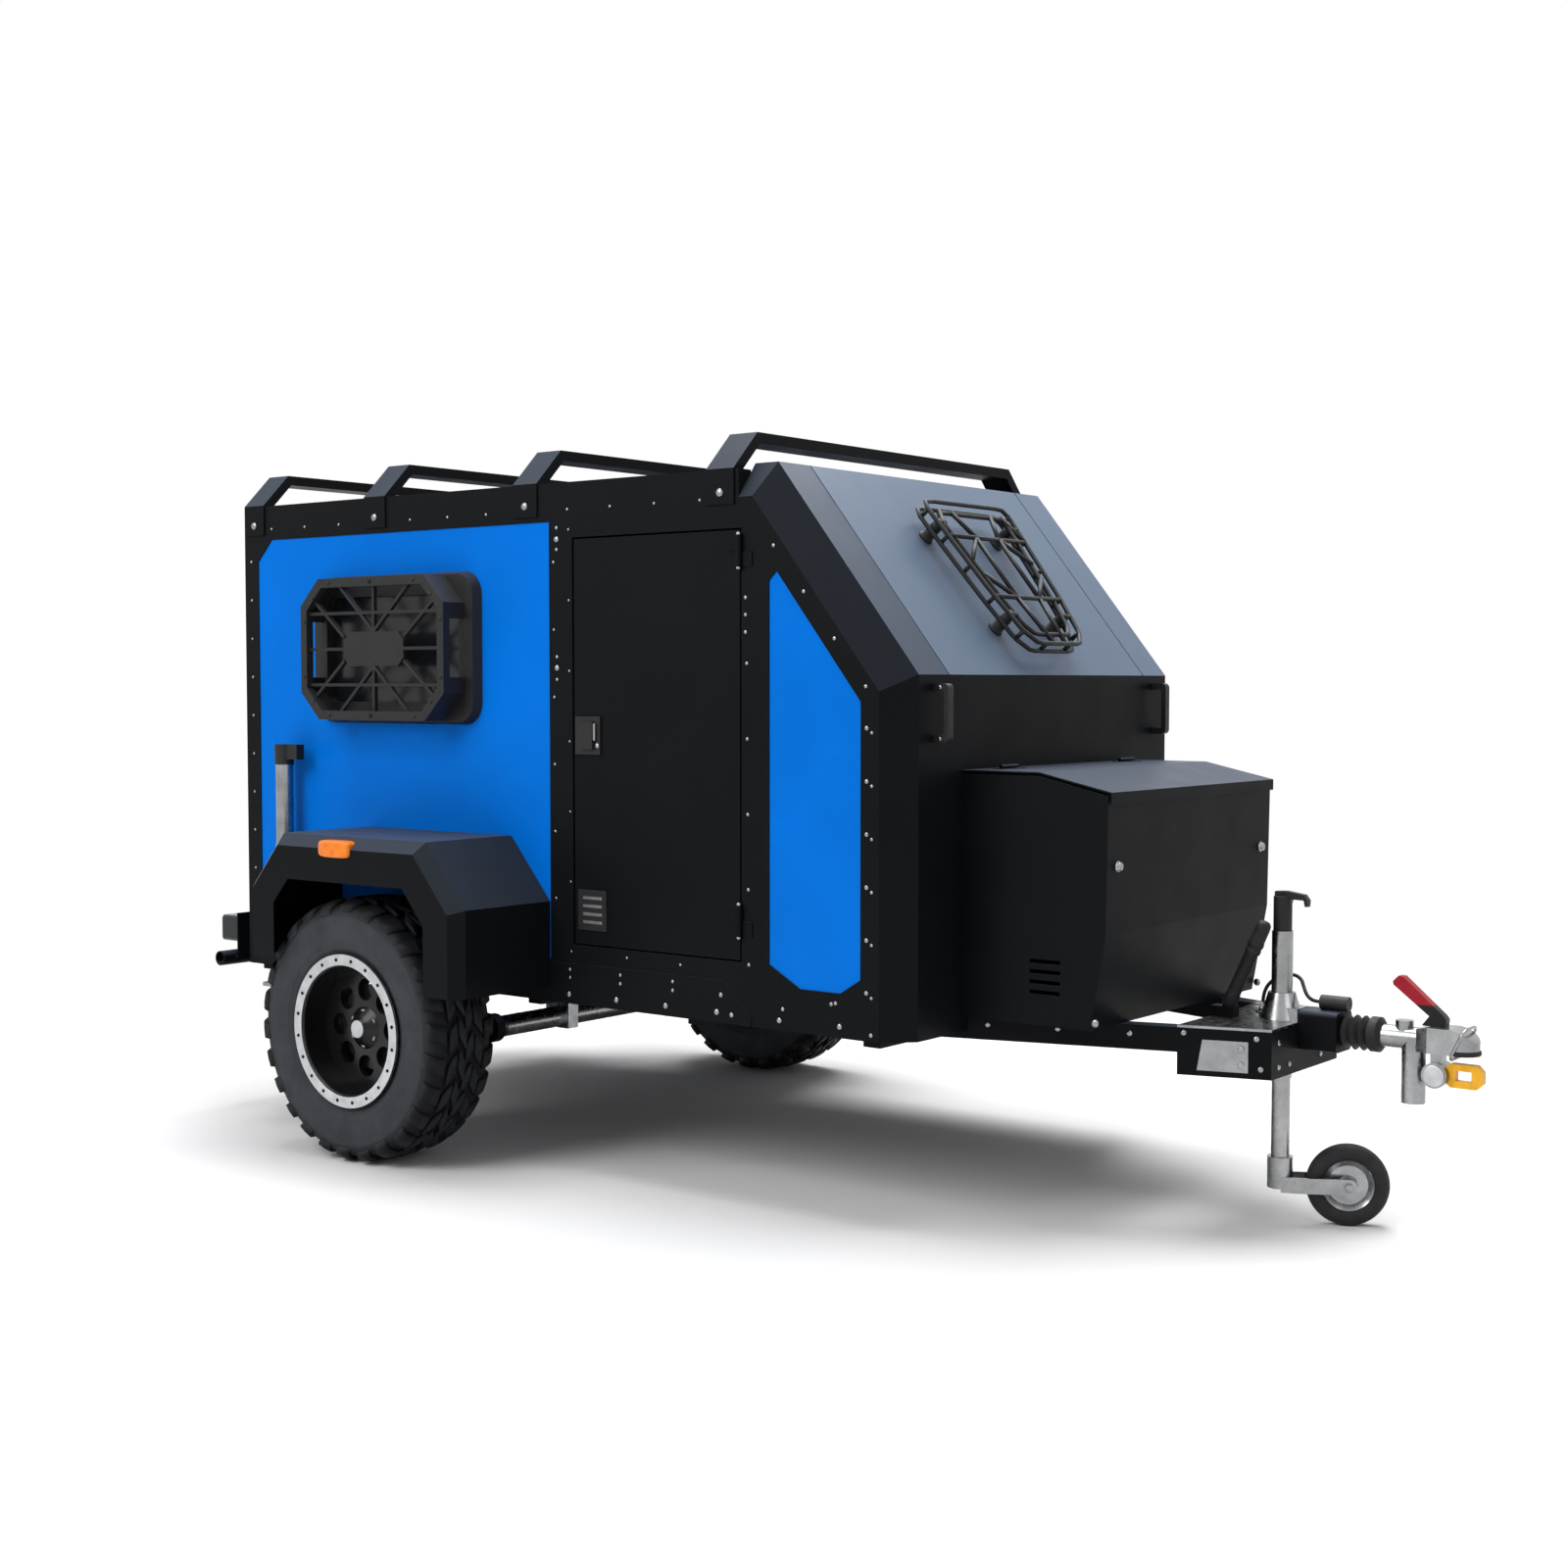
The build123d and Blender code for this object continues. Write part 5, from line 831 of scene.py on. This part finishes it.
# Release knob: x and z of its middle, half length, profile of its faces
KNOB = (2.694, 0.412)
KNOB_OUT = 0.030
KNOB_FACE = [(0.0, 0.026), (0.003, 0.026), (0.0045, 0.024), (0.003, 0.018), (0.0045, 0.010), (0.005, 0.003)]


def coupling_trim():
    """The rubber lip round the head's tip, swept along its arc, the bright faces of its release knob, and the
    strap round the head, a leaning fourth-power superellipse."""
    radius = (HEAD_HALF ** 2 + HEAD_TIP_LEN ** 2) / (2 * HEAD_TIP_LEN)
    middle = BALL_X + HEAD_TIP_LEN - radius
    reach = np.arctan2(HEAD_HALF, BALL_X - middle)
    turn = np.linspace(-reach, reach, LIP_STEPS)[:, None]
    out, rise = np.array(LIP).T
    points = placed(middle + (radius + out) * np.cos(turn), (radius + out) * np.sin(turn), COUPLING_Z + rise)
    sides = len(LIP)
    ring = np.arange(sides)
    ends = np.stack([ring, ring[::-1] + (LIP_STEPS - 1) * sides])
    faces = [grid_faces(LIP_STEPS, sides, wrap_columns=True)[:, ::-1], ends]
    put_mesh("coupling_lip", points, faces, "boot_rubber")
    patches = [turned(KNOB_FACE, placed(KNOB[0], side * KNOB_OUT, KNOB[1]), (0, side, 0), 32)
               for side in SIDES.values()]
    put_mesh("coupling_knob_faces", *join(patches), "ring_silver")
    turn = np.linspace(0, 2 * np.pi, 48, endpoint=False)
    across, up = (np.sign(wave) * np.sqrt(np.abs(wave)) for wave in (np.cos(turn), np.sin(turn)))
    line = placed(STRAP_AT[0] + STRAP_LEAN * up, STRAP_HALF[0] * across, STRAP_AT[1] + STRAP_HALF[1] * up)
    put_mesh("coupling_strap", *tube(line, (1, 0, 0), STRAP_R, 8, closed=True), "zinc_steel")


coupling_trim()


# Handbrake sleeve

BRAKE_FOOT, BRAKE_TIP = placed(2.176, -0.060, 0.506), placed(2.284, -0.060, 0.742)
# Profile: distance along the lever, radius
SLEEVE = [(0.030, 0.0150), (0.034, 0.0185), (0.060, 0.0190), (0.066, 0.0170), (0.175, 0.0165),
          (0.180, 0.0195), (0.188, 0.0195), (0.190, 0.0184), (0.196, 0.0184), (0.198, 0.0200),
          (0.206, 0.0200), (0.210, 0.0182), (0.244, 0.0180), (0.256, 0.0165), (0.262, 0.0120)]


def handbrake_sleeve():
    """The rubber sleeve over the handbrake lever: its ribbed profile turned about the lever's line."""
    put_mesh("handbrake_sleeve", *turned(SLEEVE, BRAKE_FOOT, BRAKE_TIP - BRAKE_FOOT, 28), "boot_rubber")


handbrake_sleeve()


# Side marker lamps

MARKER_X = (-0.045, 0.080)
MARKER_Z = (0.848, 0.896)
MARKER_Y = (1.003, 1.049)
MARKER_ROUND = 5


def marker_lamps():
    """Amber lenses: superellipsoids |x|^n + |y|^n + |z|^n = 1 in half sizes, with MARKER_ROUND as n."""
    across = np.linspace(-np.pi, np.pi, 48, endpoint=False)[:, None]
    up = np.linspace(-np.pi / 2, np.pi / 2, 26)[None, 1:-1]
    directions = np.stack([np.cos(up) * np.cos(across), np.cos(up) * np.sin(across),
                           np.sin(up) + 0 * across], axis=-1)
    size = (np.abs(directions) ** MARKER_ROUND).sum(axis=-1, keepdims=True) ** (-1 / MARKER_ROUND)
    rows, columns = directions.shape[:2]
    ends = np.stack([np.arange(rows)[::-1] * columns, np.arange(rows) * columns + columns - 1])
    patches = []
    for side in SIDES.values():
        low = placed(MARKER_X[0], side * MARKER_Y[0], MARKER_Z[0])
        high = placed(MARKER_X[1], side * MARKER_Y[1], MARKER_Z[1])
        points = (low + high) / 2 + directions * size * np.abs(high - low) / 2
        patches.append((points, [grid_faces(rows, columns, wrap_rows=True)[:, ::-1], ends]))
    piece = put_mesh("marker_lenses", *join(patches), "amber_lens")
    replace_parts(piece, "marker_lamps")


marker_lamps()


# Studio

WORLD_LIGHT = 0.34
LIGHT_TARGET = (0, 0, 0.8)
# Distances from the trailer's middle between which the floor fades to white, and its half width
FLOOR_FADE = (2.0, 5.0)
FLOOR_REACH = 40.0
# The photo's camera, from the fit to the photo
CAMERA_LENS = 48.30
CAMERA_SENSOR = 36.0
CAMERA_AT = (3.5456, -4.7766, 1.3243)
CAMERA_LOOK = (-0.6147, 0.7873, -0.0482)


def soft_light(name, place, size, power):
    """A square light turned to the trailer's middle."""
    light = bpy.data.lights.new(name, "AREA")
    light.size = size
    light.energy = power
    lamp = bpy.data.objects.new(name, light)
    lamp.location = place
    lamp.rotation_euler = (Vector(LIGHT_TARGET) - Vector(place)).to_track_quat("-Z", "Y").to_euler()
    bpy.context.scene.collection.objects.link(lamp)


def seen_directly(nodes, links):
    """1 for what is seen, also in a reflection or through glass, and 0 for light on its way to a surface."""
    path = nodes.new("ShaderNodeLightPath")
    seen = path.outputs["Is Camera Ray"]
    for ray in ("Is Glossy Ray", "Is Transmission Ray"):
        either = nodes.new("ShaderNodeMath")
        either.operation = "MAXIMUM"
        links.new(seen, either.inputs[0])
        links.new(path.outputs[ray], either.inputs[1])
        seen = either.outputs[0]
    return seen


def studio_world():
    """Plain soft light all round; what the camera, metal and glass see of it is white."""
    world = bpy.data.worlds.new("studio")
    bpy.context.scene.world = world
    world.use_nodes = True
    nodes, links = world.node_tree.nodes, world.node_tree.links
    light = nodes["Background"]
    light.inputs["Color"].default_value = (1, 1, 1, 1)
    light.inputs["Strength"].default_value = WORLD_LIGHT
    white = nodes.new("ShaderNodeBackground")
    white.inputs["Color"].default_value = (1, 1, 1, 1)
    white.inputs["Strength"].default_value = 1.0
    mix = nodes.new("ShaderNodeMixShader")
    links.new(seen_directly(nodes, links), mix.inputs[0])
    links.new(light.outputs[0], mix.inputs[1])
    links.new(white.outputs[0], mix.inputs[2])
    links.new(mix.outputs[0], nodes["World Output"].inputs["Surface"])


def studio_floor():
    """A pale floor, seen as fading to white away from the trailer."""
    finish, nodes, links, shader = new_finish("pale_floor")
    shader.inputs["Base Color"].default_value = (0.86, 0.86, 0.86, 1)
    shader.inputs["Roughness"].default_value = 0.9
    shader.inputs["Specular IOR Level"].default_value = 0.0
    white = nodes.new("ShaderNodeEmission")
    white.inputs["Strength"].default_value = 1.0
    place = nodes.new("ShaderNodeTexCoord")
    far = nodes.new("ShaderNodeVectorMath")
    far.operation = "LENGTH"
    links.new(place.outputs["Object"], far.inputs[0])
    fade = nodes.new("ShaderNodeMapRange")
    fade.interpolation_type = "SMOOTHSTEP"
    fade.inputs["From Min"].default_value = FLOOR_FADE[0]
    fade.inputs["From Max"].default_value = FLOOR_FADE[1]
    links.new(far.outputs["Value"], fade.inputs["Value"])
    whitened = nodes.new("ShaderNodeMath")
    whitened.operation = "MULTIPLY"
    links.new(fade.outputs["Result"], whitened.inputs[0])
    links.new(seen_directly(nodes, links), whitened.inputs[1])
    mix = nodes.new("ShaderNodeMixShader")
    links.new(whitened.outputs[0], mix.inputs[0])
    links.new(shader.outputs[0], mix.inputs[1])
    links.new(white.outputs[0], mix.inputs[2])
    links.new(mix.outputs[0], nodes["Material Output"].inputs["Surface"])
    mesh = bpy.data.meshes.new("floor_plane")
    reach = FLOOR_REACH
    corners = [(-reach, -reach, 0), (reach, -reach, 0), (reach, reach, 0), (-reach, reach, 0)]
    mesh.from_pydata(corners, [], [(0, 1, 2, 3)])
    mesh.materials.append(finish)
    plane = bpy.data.objects.new("floor_plane", mesh)
    bpy.context.scene.collection.objects.link(plane)


def photo_camera():
    """The camera that took the photo."""
    camera = bpy.data.cameras.new("photo_view")
    camera.lens = CAMERA_LENS
    camera.sensor_width = CAMERA_SENSOR
    camera.clip_end = 200.0
    view = bpy.data.objects.new("photo_view", camera)
    view.location = CAMERA_AT
    view.rotation_euler = Vector(CAMERA_LOOK).to_track_quat("-Z", "Y").to_euler()
    bpy.context.scene.collection.objects.link(view)
    bpy.context.scene.camera = view


studio_world()
studio_floor()
soft_light("top_light", (-0.5, 1.0, 6.0), 5.0, 600)
soft_light("front_light", (6.0, -2.0, 3.5), 3.0, 35)
soft_light("side_light", (-1.5, -5.5, 4.5), 3.5, 235)
photo_camera()
bpy.context.scene.view_settings.view_transform = "Standard"
